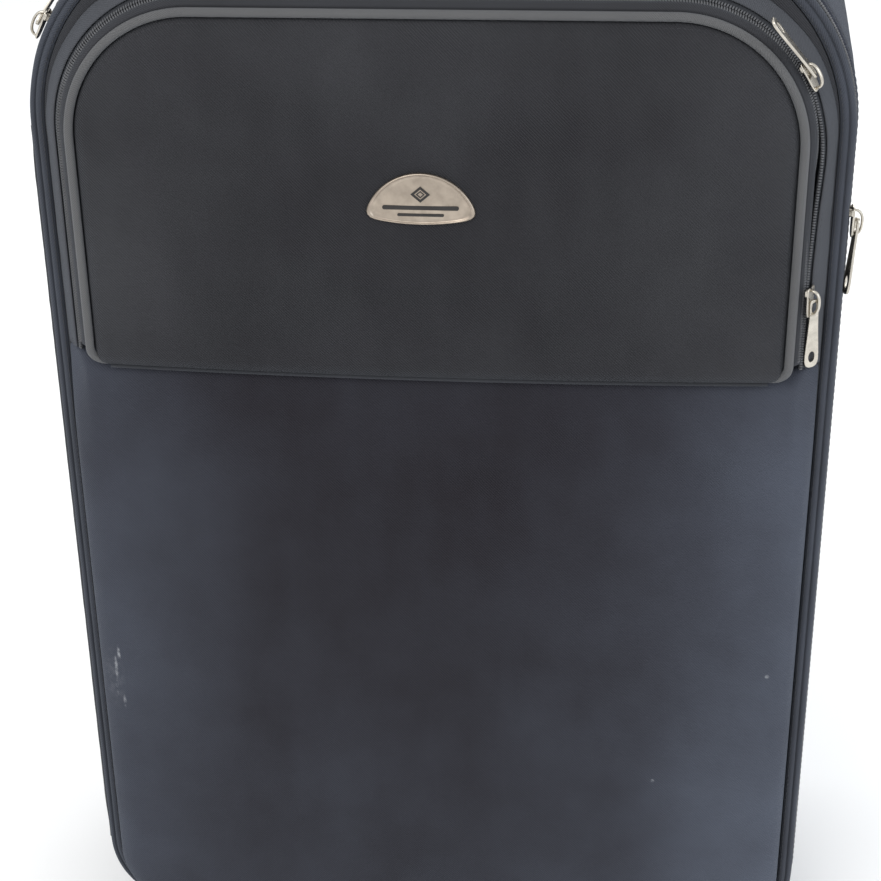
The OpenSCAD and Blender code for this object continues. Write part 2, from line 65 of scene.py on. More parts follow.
# Places read from the frame, in millimetres. "fwd" is a distance towards the front, -Y.
shell_lo, shell_hi = node_box("main_shell")
HALF_W, BASE_Z, TOP_Z = shell_hi[0], shell_lo[2], shell_hi[2]
BACK_Y = node_box("back_panel")[1][1]
BOARD_Y = node_box("cover_board")[0][1]
band_lo, band_hi = node_box("lid_band")
BAND_FWD, FACE_FWD = -band_hi[1], -band_lo[1]
ZIP_FWD = (BAND_FWD - shell_lo[1]) / 2
panel_lo, panel_hi = node_box("pocket_panel")
flap_lo, flap_hi = node_box("flap_panel")
FLAP_LOW, FLAP_FWD, FLAP_BACK = flap_lo[2], -flap_lo[1], -flap_hi[1]
FLAP_W, _, FLAP_TOP = node_box("flap_piping")[1]
BADGE_X, _, BADGE_Z = middle("badge")
WHEEL_X, WHEEL_Y, _ = middle("tyre_right")
_, TUBE_Y, _ = middle("outer_tubes")
_, TOP_GRIP_Y, _ = middle("top_handle_grip")
_, SIDE_GRIP_Y, SIDE_GRIP_Z = middle("side_handle_grip")

TOP_R, BOTTOM_R = 110.0, 54.0           # the outline's corners at the front
BACK_TOP_R, BACK_BOTTOM_R = 55.0, 68.0  # and at the back
FLAP_R = 72.0
FLAP_BOW = 3.0                          # the flap's lower edge hangs this far below its ends
PIPING_R = 2.5
SINK = 2.2                              # the main zip's tape lies this far under the surface
SLOPE = math.radians(50)                # slope of the pocket's gusset
SLOPE_START = (-0.4, FLAP_FWD - 5)
SLOPE_LEN = (SLOPE_START[1] - FACE_FWD - 0.6) / math.sin(SLOPE)
SLOPE_ZIP = 8.0                         # the pocket zip lies this far down the slope
ZIP_TUCK = 2.0                          # and leans this far in at its lower right end
OPEN_ANGLE = math.radians(29)           # it is parted from this angle on the flap's corner down
GRIP_REACH = 88.0                       # from the middle of a carry handle to its arms


# ---------- Materials ----------

class Mat:
    """A node material, with short calls for the nodes it needs."""

    def __init__(self):
        self.mat = bpy.data.materials.new("finish")
        self.mat.use_nodes = True
        self.tree = self.mat.node_tree
        self.tree.nodes.clear()
        self.bsdf = self.tree.nodes.new("ShaderNodeBsdfPrincipled")
        self.put(self.tree.nodes.new("ShaderNodeOutputMaterial").inputs[0], self.bsdf.outputs[0])

    def put(self, socket, value):
        if isinstance(value, bpy.types.NodeSocket):
            self.tree.links.new(value, socket)
        else:
            socket.default_value = (*value, 1.0) if socket.type == "RGBA" else value

    def set(self, **values):
        for key, value in values.items():
            self.put(self.bsdf.inputs[key.replace("_", " ")], value)

    def node(self, kind, inputs=(), out=0, **props):
        """An output of a new node, whose inputs are given in order or by key."""
        n = self.tree.nodes.new("ShaderNode" + kind)
        for key, value in props.items():
            setattr(n, key, value)
        for key, value in inputs.items() if isinstance(inputs, dict) else enumerate(inputs):
            self.put(n.inputs[key], value)
        return n.outputs[out]

    def math(self, op, a, b=0.0):
        return self.node("Math", (a, b), operation=op)

    def add(self, a, b):
        return self.math("ADD", a, b)

    def mul(self, a, b):
        return self.math("MULTIPLY", a, b)

    def mix(self, share, a, b):
        return self.node("Mix", {0: share, 6: a, 7: b}, 2, data_type="RGBA")

    def ramp(self, x, lo, hi, to_lo=0.0, to_hi=1.0):
        return self.node("MapRange", (x, lo, hi, to_lo, to_hi), clamp=True)

    def noise(self, where, scale, detail=2.0, rough=0.5):
        return self.node("TexNoise", {"Vector": where, "Scale": scale, "Detail": detail, "Roughness": rough})

    def scaled(self, where, factors):
        return self.node("VectorMath", (where, factors), operation="MULTIPLY")

    def place(self):
        """The place on the object, in millimetres."""
        return self.scaled(self.node("TexCoord", out="Object"), (1 / MM,) * 3)

    def weave(self):
        return self.node("UVMap", uv_map="weave")

    def split(self, where):
        return self.node("SeparateXYZ", (where,)).node.outputs

    def wave(self, x, pitch):
        return self.math("SINE", self.mul(x, TAU / pitch))

    def bump(self, height, distance, strength):
        values = {"Strength": strength, "Distance": distance * MM, "Height": height}
        self.set(Normal=self.node("Bump", values))

    def spot(self, where, centre, size):
        """1 inside an ellipsoid about a point, 0 outside, with a soft edge."""
        away = self.node("VectorMath", (where, centre), operation="SUBTRACT")
        scaled = self.scaled(away, [1 / s for s in size])
        return self.ramp(self.node("VectorMath", (scaled,), "Value", operation="LENGTH"), 1.0, 0.5)


def painted_sheen(m, place, cloud):
    """Painted sheen: cloth painted lighter where it would catch the light, most at the sides, low on the
    right, and above and below the big panel's middle.
    """
    x, _, z = m.split(place)
    aside = m.math("POWER", m.ramp(m.math("ABSOLUTE", m.add(x, 12.0)), 60.0, 215.0), 1.6)
    right = m.mul(m.ramp(x, 20.0, 200.0), m.ramp(z, 430.0, 120.0))
    ends = m.add(m.ramp(z, 330.0, 60.0, 0.0, 0.35), m.ramp(z, 540.0, 640.0, 0.0, 0.5))
    edges = m.add(m.math("MAXIMUM", aside, ends), m.mul(right, 0.55))
    return m.mul(edges, m.ramp(cloud, 0.3, 0.7, 0.75, 1.2))


def fabric(dark, light, pitch=1.25, relief=0.2, haze=(0.10, 0.115, 0.15), hazy=0.15, rough=0.88,
           sheen=0.10, gloss=0.12, marks=(), painted_sheen_share=0.0):
    """Woven cloth: diagonal ribs, uneven yarn, cloudy shade, a little dust, and scuff marks."""
    m = Mat()
    place = m.place()
    u, v, _ = m.split(m.weave())
    diagonal = pitch * math.sqrt(2)
    rib = m.wave(m.add(u, v), diagonal)
    yarn = m.wave(m.math("SUBTRACT", u, v), diagonal * 0.6)
    fuzz = m.noise(m.weave(), 1.7, 3.0, 0.65)
    height = m.add(m.add(m.mul(rib, 0.5), m.mul(yarn, 0.25)), m.mul(fuzz, 1.6))
    clear = m.ramp(m.noise(place, 0.02, 3.0, 0.6), 0.35, 0.68, 0.25, 1.0)
    tone = m.add(0.5, m.mul(m.math("SUBTRACT", m.ramp(height, 0.0, 1.7), 0.5), clear))
    cloud = m.noise(place, 0.011, 3.0, 0.55)
    streak = m.noise(m.scaled(place, (0.05, 0.05, 0.012)), 1.0, 2.0)
    shade = m.ramp(m.add(cloud, m.mul(streak, 0.35)), 0.45, 0.9, 0.0, hazy)
    colour = m.mix(shade, m.mix(tone, dark, light), haze)
    # painted sheen: the haze colour laid over the cloth towards its sides and ends, standing in for light
    # caught there
    if painted_sheen_share:
        colour = m.mix(m.mul(painted_sheen(m, place, cloud), painted_sheen_share), colour, haze)
    dust = m.ramp(m.noise(place, 0.45, 4.0, 0.7), 0.70, 0.86, 0.0, 0.10)
    colour = m.mix(dust, colour, (0.30, 0.30, 0.30))
    for x, z, half_w, half_h, amount in marks:
        ragged = m.ramp(m.noise(place, 0.22, 4.0, 0.7), 0.42, 0.66)
        mask = m.mul(m.spot(place, (x, -66, z), (half_w, 30, half_h)), ragged)
        colour = m.mix(m.mul(mask, amount), colour, (0.34, 0.35, 0.37))
    m.set(Base_Color=colour, Roughness=m.ramp(tone, 0, 1, rough + 0.08, rough - 0.06), Sheen_Weight=sheen,
          Sheen_Roughness=0.45, Sheen_Tint=(0.80, 0.88, 1.0), Specular_IOR_Level=gloss)
    m.bump(height, relief, 0.8)
    return m.mat


def webbing(dark, light, pitch):
    """Flat woven tape, with ribs across its length."""
    m = Mat()
    u, v, _ = m.split(m.weave())
    fuzz = m.noise(m.weave(), 1.5, 3.0, 0.6)
    height = m.add(m.mul(m.wave(u, pitch), m.mul(m.wave(v, pitch * 0.55), 0.5)), fuzz)
    dust = m.ramp(m.noise(m.place(), 0.08, 4.0, 0.6), 0.55, 0.8, 0.0, 0.12)
    colour = m.mix(dust, m.mix(m.ramp(height, 0.0, 1.0), dark, light), (0.25, 0.25, 0.26))
    m.set(Base_Color=colour, Roughness=0.8, Sheen_Weight=0.2)
    m.bump(height, 0.25, 0.8)
    return m.mat


def metal(colour, rough, brushed=(1.0, 1.0, 1.0)):
    """Satin metal with fine scratches and slightly dulled patches."""
    m = Mat()
    grain = m.noise(m.scaled(m.place(), brushed), 1.4, 3.0, 0.6)
    patch = m.noise(m.place(), 0.16, 3.0)
    m.set(Base_Color=m.mix(m.ramp(patch, 0.35, 0.75), colour, tuple(c * 0.72 for c in colour)), Metallic=1.0,
          Roughness=m.ramp(m.add(grain, patch), 0.7, 1.4, rough - 0.08, rough + 0.14))
    m.bump(grain, 0.03, 0.5)
    return m.mat


def plastic(colour, rough, grain=0.9, relief=0.06, worn=0.35):
    """Moulded plastic or rubber: fine grain, cloudy gloss and paler scuffed places."""
    m = Mat()
    fine = m.noise(m.place(), grain, 3.0, 0.6)
    patch = m.noise(m.place(), 0.05, 4.0, 0.6)
    pale = tuple(min(1.0, c * 1.7 + 0.02) for c in colour)
    m.set(Base_Color=m.mix(m.ramp(patch, 0.45, 0.75, 0.0, worn), colour, pale),
          Roughness=m.ramp(m.add(fine, patch), 0.7, 1.4, rough - 0.07, rough + 0.13))
    m.bump(fine, relief, 0.7)
    return m.mat


# Pale marks on the big panel: x, z, half width, half height, strength.
SCUFFS = [(-198.5, 250, 1.2, 7, 0.9), (-201, 240, 1.2, 9, 0.9), (-201.5, 226, 1.0, 8, 0.4),
          (-197.5, 215, 1.2, 6, 0.8),
          (-203, 232, 8, 25, 0.10), (196.5, 254.5, 1.6, 1.6, 0.8), (131.5, 178.5, 1.4, 1.4, 0.7)]
M = {
    "shell_fabric": fabric((0.017, 0.018, 0.024), (0.050, 0.053, 0.066), hazy=0.2),
    # the panel and the flap get painted sheen, lighter towards their sides and ends
    "panel_fabric": fabric((0.0060, 0.0052, 0.0066), (0.0245, 0.0215, 0.0265), relief=0.26, hazy=0.1,
                           marks=SCUFFS, painted_sheen_share=0.46),
    "flap_fabric": fabric((0.002, 0.0019, 0.0023), (0.034, 0.033, 0.037), relief=0.4, hazy=0.2,
                          haze=(0.075, 0.077, 0.084), painted_sheen_share=0.38),
    "grey_piping": fabric((0.045, 0.045, 0.047), (0.135, 0.135, 0.138), pitch=0.9, relief=0.3,
                          haze=(0.16, 0.16, 0.16), rough=0.6, gloss=0.5),
    "black_binding": fabric((0.017, 0.017, 0.019), (0.052, 0.053, 0.058), pitch=1.0,
                            haze=(0.07, 0.075, 0.09)),
    "zip_tape": fabric((0.014, 0.015, 0.017), (0.044, 0.046, 0.052), pitch=0.7, relief=0.12,
                       haze=(0.08, 0.08, 0.09), sheen=0.15),
    "gusset": fabric((0.036, 0.037, 0.041), (0.091, 0.094, 0.103), pitch=1.1),
    "band_fabric": fabric((0.025, 0.027, 0.033), (0.068, 0.073, 0.087), hazy=0.25),
    "lining": fabric((0.075, 0.082, 0.10), (0.17, 0.18, 0.21), pitch=0.6, relief=0.08, haze=(0.2, 0.2, 0.22)),
    "webbing": webbing((0.012, 0.012, 0.013), (0.045, 0.046, 0.05), 2.2),
    "coil": plastic((0.072, 0.074, 0.080), 0.36, worn=0.5),
    "thread": plastic((0.035, 0.037, 0.043), 0.7, grain=2.0),
    "badge_mark": plastic((0.012, 0.010, 0.009), 0.6),
    "black_plastic": plastic((0.020, 0.020, 0.022), 0.42),
    "grip_rubber": plastic((0.024, 0.024, 0.026), 0.62, grain=1.6, relief=0.1),
    "button_plastic": plastic((0.15, 0.15, 0.16), 0.35),
    "hub_plastic": plastic((0.085, 0.087, 0.092), 0.4),
    "wheel_tread": plastic((0.028, 0.028, 0.028), 0.6, grain=0.6, relief=0.15, worn=0.8),
    "nickel": metal((0.60, 0.56, 0.49), 0.27),
    "badge_metal": metal((0.43, 0.365, 0.30), 0.36),
    "tube_aluminium": metal((0.60, 0.60, 0.62), 0.3, brushed=(6.0, 6.0, 0.15)),
    "steel": metal((0.48, 0.48, 0.50), 0.34),
}
for name, material in M.items():
    material.name = name
# The record's slot for each material that isn't one itself.
SLOTS = {"panel_fabric": "shell_fabric", "gusset": "shell_fabric", "band_fabric": "shell_fabric",
         "coil": "zip_tape", "thread": "black_binding", "webbing": "black_binding",
         "badge_mark": "badge_metal"}


# ---------- Mesh helpers ----------

def unit(a):
    return a / np.linalg.norm(a, axis=-1, keepdims=True)


def turn(sides):
    """Angles at even steps round a full turn."""
    return TAU * np.arange(sides) / sides


def lengths(line):
    """How far along a line each of its points lies."""
    return np.concatenate([[0], np.cumsum(np.linalg.norm(np.diff(line, axis=0), axis=1))])


def link(name, data):
    """A new object in the scene."""
    ob = bpy.data.objects.new(name, data)
    bpy.context.scene.collection.objects.link(ob)
    return ob


def turn_outward(mesh, weld=False):
    bm = bmesh.new()
    bm.from_mesh(mesh)
    if weld:
        bmesh.ops.remove_doubles(bm, verts=bm.verts, dist=1e-6)
    bmesh.ops.recalc_face_normals(bm, faces=bm.faces)
    bm.to_mesh(mesh)
    bm.free()


def piece(name, mesh, body, material, nodes=(), slot=None):
    """Puts a mesh in the scene, rides it on a body and hides the CAD nodes it stands for."""
    ob = link(name, mesh)
    mesh.materials.clear()
    mesh.materials.append(M[material])
    if body:
        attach(ob, body)
    slot or SLOTS.get(material, material)
    if nodes:
        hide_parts(*nodes)
    return ob


class Net:
    """Points and faces gathered for one piece, in millimetres."""

    def __init__(self):
        self.points, self.faces, self.uvs, self.count = [], [], [], 0

    def add(self, points, faces, uvs=None):
        self.points.append(np.array(points, float))
        self.faces += [tuple(i + self.count for i in f) for f in faces]
        self.uvs += uvs or [((0.0, 0.0),) * len(f) for f in faces]
        self.count += len(points)
        return self

    def face(self, ring):
        return self.add(ring, [tuple(range(len(ring)))])

    def sheet(self, rows, wrap_path=False, wrap_profile=False, caps=False):
        """Quads over rows of points, with (u, v) in millimetres for each face corner."""
        rows = np.array(rows, float)
        m, n = rows.shape[:2]
        s = lengths(np.concatenate([rows[m // 2], rows[m // 2][:1]]))
        t = lengths(np.concatenate([rows[:, n // 2], rows[:1, n // 2]]))
        faces, uvs = [], []
        for j in range(m if wrap_profile else m - 1):
            for i in range(n if wrap_path else n - 1):
                j2, i2 = (j + 1) % m, (i + 1) % n
                faces.append((j * n + i, j * n + i2, j2 * n + i2, j2 * n + i))
                uvs.append(((s[i], t[j]), (s[i + 1], t[j]), (s[i + 1], t[j + 1]), (s[i], t[j + 1])))
        for i in (0, n - 1) if caps else ():
            faces.append(tuple(j * n + i for j in range(m)))
            uvs.append(tuple((float(j), 0.0) for j in range(m)))
        return self.add(rows.reshape(-1, 3), faces, uvs)

    def cord(self, line, radius, sides=8, closed=False, flat=1.0, up=(0, -1, 0)):
        """A cord along a line, narrowed by flat at right angles to up."""
        line = np.array(line, float)
        ahead = unit(np.roll(line, -1, 0) - np.roll(line, 1, 0) if closed else np.gradient(line, axis=0))
        side = unit(np.cross(ahead, np.broadcast_to(np.array(up, float), line.shape)))
        up = np.cross(side, ahead)
        rows = [line + radius * (side * math.cos(a) * flat + up * math.sin(a)) for a in turn(sides)]
        return self.sheet(rows, wrap_path=closed, wrap_profile=True, caps=not closed)

    def plate(self, x0, x1, shape, soft=0.35):
        """A flat plate with soft edges, from x0 to x1; shape is a closed outline in (y, z)."""
        shape = np.array(shape)
        c = shape.mean(0)
        size = np.abs(shape - c).max()
        rows = []
        for x, draw in ((x0, soft * 1.6), (x0, soft), (x0 + soft, 0),
                        (x1 - soft, 0), (x1, soft), (x1, soft * 1.6)):
            s = c + (shape - c) * (1 - draw / size)
            rows.append(np.insert(s, 0, x, axis=1))
        return self.sheet(rows, wrap_path=True).face(rows[0]).face(rows[-1])

    def moved(self, matrix):
        self.points = [p @ matrix[:3, :3].T + matrix[:3, 3] for p in self.points]
        return self

    def build(self, name, body, material, *nodes, slot=None, sub=0, box_uv=False, thick=0.0):
        mesh = bpy.data.meshes.new(name)
        mesh.from_pydata([tuple(p) for p in np.concatenate(self.points) * MM], [], self.faces)
        layer = mesh.uv_layers.new(name="weave")
        layer.data.foreach_set("uv", [c for f in self.uvs for uv in f for c in uv])
        turn_outward(mesh)
        mesh.polygons.foreach_set("use_smooth", [True] * len(mesh.polygons))
        ob = piece(name, mesh, body, material, nodes, slot)
        if box_uv:
            flat_uv(ob)
        if thick:
            solid = ob.modifiers.new("thick", "SOLIDIFY")
            solid.thickness, solid.offset = thick * MM, 0.0
        if sub:
            smooth = ob.modifiers.new("smooth", "SUBSURF")
            smooth.levels = smooth.render_levels = sub
        return ob


def flat_uv(ob):
    """Lays the weave flat over each face, seen along the axis it faces most."""
    mesh = ob.data
    layer = mesh.uv_layers["weave"].data
    for face in mesh.polygons:
        n = [abs(c) for c in face.normal]
        axis = n.index(max(n))
        for i in face.loop_indices:
            p = mesh.vertices[mesh.loops[i].vertex_index].co / MM
            layer[i].uv = ((p.y, p.z), (p.x, p.z), (p.x, p.y))[axis]


def corner(x, z, r, start, sweep_angle, count):
    """Points and outward directions round a corner, as rows of (x, z, nx, nz)."""
    a = np.radians(start + sweep_angle * np.arange(count) / count)
    return np.stack([x + r * np.cos(a), z + r * np.sin(a), np.cos(a), np.sin(a)], 1)


def straight(x0, z0, x1, z1, nx, nz, count):
    t = np.arange(count) / count
    return np.stack([x0 + (x1 - x0) * t, z0 + (z1 - z0) * t, nx + 0 * t, nz + 0 * t], 1)


def outline(inset=0.0, r_top=TOP_R, r_low=BOTTOM_R, step=6.0, closed=True):
    """Points and outward directions round the body's outline, from the left lower corner."""
    w, low, high = HALF_W - inset, BASE_Z + inset, TOP_Z - inset
    rt, rb = r_top - inset, r_low - inset
    side, bottom, top, low_turn, top_turn = (max(3, round(length / step)) for length in (
        TOP_Z - BASE_Z - TOP_R - BOTTOM_R, 2 * (HALF_W - BOTTOM_R), 2 * (HALF_W - TOP_R),
        BOTTOM_R * math.pi / 2, TOP_R * math.pi / 2))
    path = np.concatenate([
        corner(rb - w, low + rb, rb, 180, 90, low_turn), straight(rb - w, low, w - rb, low, 0, -1, bottom),
        corner(w - rb, low + rb, rb, 270, 90, low_turn), straight(w, low + rb, w, high - rt, 1, 0, side),
        corner(w - rt, high - rt, rt, 0, 90, top_turn), straight(w - rt, high, rt - w, high, 0, 1, top),
        corner(rt - w, high - rt, rt, 90, 90, top_turn),
        straight(-w, high - rt, -w, low + rb, -1, 0, side if closed else 1)])
    return path[:, :2], path[:, 2:]


def flap_arch(low, step=4.0):
    """Points and outward directions up the flap's left side, over its top and down its right."""
    w, r, high = FLAP_W, FLAP_R, FLAP_TOP
    side, bend, top = (round(length / step) for length in (high - r - low, r * math.pi / 2, 2 * (w - r)))
    path = np.concatenate([
        straight(-w, low, -w, high - r, -1, 0, side), corner(r - w, high - r, r, 180, -90, bend),
        straight(r - w, high, w - r, high, 0, 1, top), corner(w - r, high - r, r, 90, -90, bend),
        straight(w, high - r, w, low, 1, 0, side), straight(w, low, w, low, 1, 0, 1)])
    return path[:, :2], path[:, 2:]


def sweep(path, profile):
    """Rows of points that carry a profile of (outward, forward) along a path. Either may vary."""
    pos, nrm = path
    rows = []
    for out, fwd in profile:
        out, fwd = np.broadcast_to(out, len(pos)), np.broadcast_to(fwd, len(pos))
        rows.append(np.stack([pos[:, 0] + nrm[:, 0] * out, -fwd, pos[:, 1] + nrm[:, 1] * out], 1))
    return rows


def swept_line(path, out, fwd):
    return sweep(path, [(out, fwd)])[0]


def outward(path):
    return np.insert(path[1], 1, 0, axis=1)


def on_slope(s, h):
    """A point of the gusset's slope, as (outward, forward): s down the slope, h above it."""
    return (SLOPE_START[0] + s * math.cos(SLOPE) + h * math.sin(SLOPE),
            SLOPE_START[1] - s * math.sin(SLOPE) + h * math.cos(SLOPE))


def uneven(points, size, amount, seed):
    """A smooth value for each point that wanders between -amount and amount."""
    points = np.array(points, float)
    values = [noise.noise(Vector(p) / size + Vector((seed,) * 3)) * amount for p in points.reshape(-1, 3)]
    return np.array(values).reshape(points.shape[:-1])


# One bead of a coil or one thread: four rings of five points, closed at both ends.
BEAD_FACES = [(j * 5 + k, j * 5 + (k + 1) % 5, (j + 1) * 5 + (k + 1) % 5, (j + 1) * 5 + k)
              for j in range(3) for k in range(5)] + [tuple(range(5)), tuple(range(15, 20))]


def beads(net, line, across, up, bead, pitch, shift=0.0):
    """Copies of a bead at an even pitch on a line; its points are (along, across, up)."""
    s = lengths(line)
    at = np.arange(pitch / 2 + shift, s[-1] - pitch / 2, pitch)
    i = np.clip(np.searchsorted(s, at) - 1, 0, len(line) - 2)
    f = ((at - s[i]) / (s[i + 1] - s[i]))[:, None]
    centre, up = (v[i] * (1 - f) + v[i + 1] * f for v in (line, up))
    along, up = unit(line[i + 1] - line[i]), unit(up)
    across = np.cross(up, along) if across is None else unit(across[i] * (1 - f) + across[i + 1] * f)
    for c, axes in zip(centre, np.stack([along, across, up], 1)):
        net.add(c + np.array(bead) @ axes, BEAD_FACES)


def coil(net, line, across, up, shift):
    """Rounded teeth side by side along a line: one half of a coil zip."""
    pitch, start, width, height = 1.5, 0.15, 2.3, 1.5
    ring = [(0.44 * pitch * math.cos(a), height * math.sin(a) ** 0.8) for a in math.pi * np.arange(5) / 4]
    stations = ((0, 0.72), (width * 0.3, 1.0), (width * 0.8, 0.95), (width, 0.5))
    tooth = [(y + 0.16 * x, start + x, z * share) for x, share in stations for y, z in ring]
    beads(net, line, across, up, tooth, pitch, shift)


def stitches(net, line, up, pitch=3.6, length=2.6, radius=0.32):
    """Threads lying along a line, each a small arched capsule."""
    shape = ((-0.5, 0.35, -0.3), (-0.3, 0.9, 0.1), (0.3, 0.9, 0.1), (0.5, 0.35, -0.3))
    thread = [(x * length, radius * r * math.cos(a), radius * (lift + r * math.sin(a)))
              for x, r, lift in shape for a in turn(5)]
    line = np.array(line, float)
    beads(net, line, None, np.broadcast_to(np.array(up, float), line.shape), thread, pitch)


def thread_along(name, body, lines, **options):
    """One piece with stitches along several lines of (points, up directions)."""
    net = Net()
    for line, up in lines:
        stitches(net, line, up, **options)
    return net.build(name, body, "thread")


# ---------- Padded panels ----------

def inner_rim(inset, r_top, r_low):
    """The body's outline drawn in: half width, lowest and highest z, upper and lower corner."""
    return HALF_W - inset, BASE_Z + inset, TOP_Z - inset, r_top - inset, r_low - inset


def spaced(lo, hi, fine, coarse, edge):
    """Numbers from lo to hi, close together near both ends."""
    near = np.arange(0, edge, fine)
    count = max(2, round((hi - lo - 2 * edge) / coarse))
    return np.concatenate([lo + near, lo + np.linspace(edge, hi - lo - edge, count + 1), hi - near[::-1]])


def pad_grid(rim, fine, coarse, edge):
    """x and z over a rounded rectangle, in rows that follow its corners, and how far in each point lies."""
    w, low, high, rt, rb = rim
    turn_low, turn_top = (r * (1 - np.cos(np.linspace(0, math.pi / 2, max(3, round(r * 1.6 / (fine * 1.4))))))
                          for r in (rb, rt))
    below, above = low + turn_low, high - turn_top[::-1]
    rounded = rb > edge and rt > edge
    inner = spaced(below[-1], above[0], coarse if rounded else fine, coarse, coarse if rounded else edge)
    zs = np.concatenate([below[:-1], inner, above[1:]])
    half = np.full(len(zs), w)
    for r, past in ((rb, low + rb - zs), (rt, zs - high + rt)):
        half[past > 0] = w - r + np.sqrt(np.maximum(r ** 2 - past[past > 0] ** 2, 0))
    ts = spaced(-w, w, fine, coarse, edge) / w
    x, z = half[:, None] * ts[None, :], np.repeat(zs[:, None], len(ts), 1)
    upper = z > (low + high) / 2
    r = np.where(upper, rt, rb)
    qx, qz = np.abs(x) - (w - r), np.where(upper, z - (high - r), (low + r) - z)
    return x, z, r - np.hypot(np.maximum(qx, 0), np.maximum(qz, 0)) - np.minimum(np.maximum(qx, qz), 0)


def on_grid(x, z, y=0.0):
    return np.stack([x, 0 * x + y, z], -1)


def pad(x, z, front, back, bulge=0.0):
    """A closed pad: front and back faces over the same grid, joined round the rim."""
    m, n = x.shape
    size = m * n
    points = np.concatenate([on_grid(x, z, -fwd).reshape(-1, 3) for fwd in (front, back)])
    faces = []
    for j in range(m - 1):
        for i in range(n - 1):
            q = (j * n + i, j * n + i + 1, (j + 1) * n + i + 1, (j + 1) * n + i)
            faces += [q, tuple(size + k for k in reversed(q))]
    at = np.arange(size).reshape(m, n)
    border = np.concatenate([at[0], at[1:, -1], at[-1, -2::-1], at[-2:0:-1, 0]]).tolist()
    mid = (points[border] + points[[size + b for b in border]]) / 2
    out = unit((mid - [0, 0, (z.min() + z.max()) / 2]) * [1, 0, 1])
    for k, b in enumerate(border):
        k2 = (k + 1) % len(border)
        b2 = border[k2]
        faces += [(b, 2 * size + k, 2 * size + k2, b2), (2 * size + k, size + b, size + b2, 2 * size + k2)]
    return np.concatenate([points, mid + out * bulge]), faces


def inflate(ob, loose, cap):
    """Swells the loose part of a pad by cloth simulation; no point moves further than cap."""
    mesh = ob.data
    rest = np.zeros(len(mesh.vertices) * 3)
    mesh.vertices.foreach_get("co", rest)
    for m in ob.modifiers:
        m.show_viewport = False
    pins = ob.vertex_groups.new(name="pins")
    pins.add([int(i) for i in np.flatnonzero(~loose)], 1.0, "REPLACE")
    cloth = ob.modifiers.new("cloth", "CLOTH")
    s = cloth.settings
    s.quality, s.mass, s.air_damping = 5, 0.3, 1.0
    s.tension_stiffness = s.compression_stiffness = 15.0
    s.shear_stiffness, s.bending_stiffness = 5.0, 0.5
    s.vertex_group_mass = "pins"
    s.use_pressure, s.uniform_pressure_force = True, 4.0
    s.effector_weights.gravity = 0.0
    cloth.collision_settings.use_collision = False
    cloth.point_cache.frame_start, cloth.point_cache.frame_end = 1, 20
    for f in range(1, 21):
        bpy.context.scene.frame_set(f)
    got = np.zeros(len(rest))
    ob.evaluated_get(bpy.context.evaluated_depsgraph_get()).data.vertices.foreach_get("co", got)
    far = np.linalg.norm((got - rest).reshape(-1, 3), axis=1).max()
    print("swelled", ob.name, "by up to", round(far / MM, 2), "mm")
    ob.modifiers.remove(cloth)
    ob.vertex_groups.remove(pins)
    mesh.vertices.foreach_set("co", rest + (got - rest) * min(1.0, cap * MM / max(far, 1e-9)))
    mesh.update()
    for m in ob.modifiers:
        m.show_viewport = True
    bpy.context.scene.frame_set(1)


def crown(x, z, rim, rise, power, kept):
    """The rise of a pad's middle. A part of it is kept where the simulation swells the pad."""
    w, low, high = rim[:3]
    arch = np.sin(np.clip((z - low) / (high - low), 0, 1) * math.pi) ** power
    return rise * (1 - (x / w) ** 2) * arch * kept


def swollen(name, body, material, node, shape, bulge, free, cap):
    """Builds a pad and swells its front where it is free of the seams."""
    points, faces = pad(*shape, bulge)
    ob = Net().add(points, faces).build(name, body, material, node, sub=1)
    loose = np.zeros(len(points), bool)
    loose[:free.size] = free.ravel()
    inflate(ob, loose, cap)
    flat_uv(ob)
    return ob


# ---------- Case ----------

def near(x, centre, half):
    """1 near a place and 0 away from it, with a smooth edge."""
    t = np.clip((half * 1.6 - np.abs(x - centre)) / (half * 0.6), 0, 1)
    return t * t * (3 - 2 * t)


def in_cut(p):
    """True where the wheel housings, the handle's tubes and the carry handles pass through the wall."""
    x, y, z = p
    over, beside = z > TOP_Z - 12, x < -HALF_W + 12
    return (abs(abs(x) - WHEEL_X) < 21 and y > WHEEL_Y - 35 and z < 72
            or over and abs(x) < 103 and abs(y - TUBE_Y + 1) < 9.5
            or over and abs(abs(x) - GRIP_REACH) < 9 and abs(y - TOP_GRIP_Y) < 6
            or beside and abs(abs(z - SIDE_GRIP_Z) - GRIP_REACH) < 9 and abs(y - SIDE_GRIP_Y) < 6)


def trimmed(net):
    """Leaves out the faces that lie in a cut."""
    points = np.concatenate(net.points)
    keep = [i for i, f in enumerate(net.faces) if not in_cut(points[list(f)].mean(0))]
    net.faces, net.uvs = [net.faces[i] for i in keep], [net.uvs[i] for i in keep]
    return net


SHELL_RINGS = [  # depth, inset, share of the way to the squarer upper corners at the back
    (-28.0, 4.4, 0), (-29.6, 3.2, 0), (-30.2, 1.7, 0), (-29.6, 0.5, 0), (-28.0, 0.0, 0), (-25.5, 0.1, 0),
    (-24.4, 0.45, 0), (-23.4, 0.0, 0.01), (-16, -0.3, 0.04), (-6, -0.6, 0.09), (6, -0.9, 0.15),
    (18, -1.1, 0.2),
    (30, -1.2, 0.26), (44, -1.3, 0.33), (58, -1.3, 0.4), (72, -1.3, 0.46), (86, -1.2, 0.53), (100, -1.1, 0.6),
    (114, -1.0, 0.66), (128, -0.8, 0.73), (142, -0.6, 0.8), (154, -0.4, 0.85), (166, -0.2, 0.9),
    (176, 0.0, 0.95), (183, 0.2, 0.98), (187.0, 0.9, 1.0)]


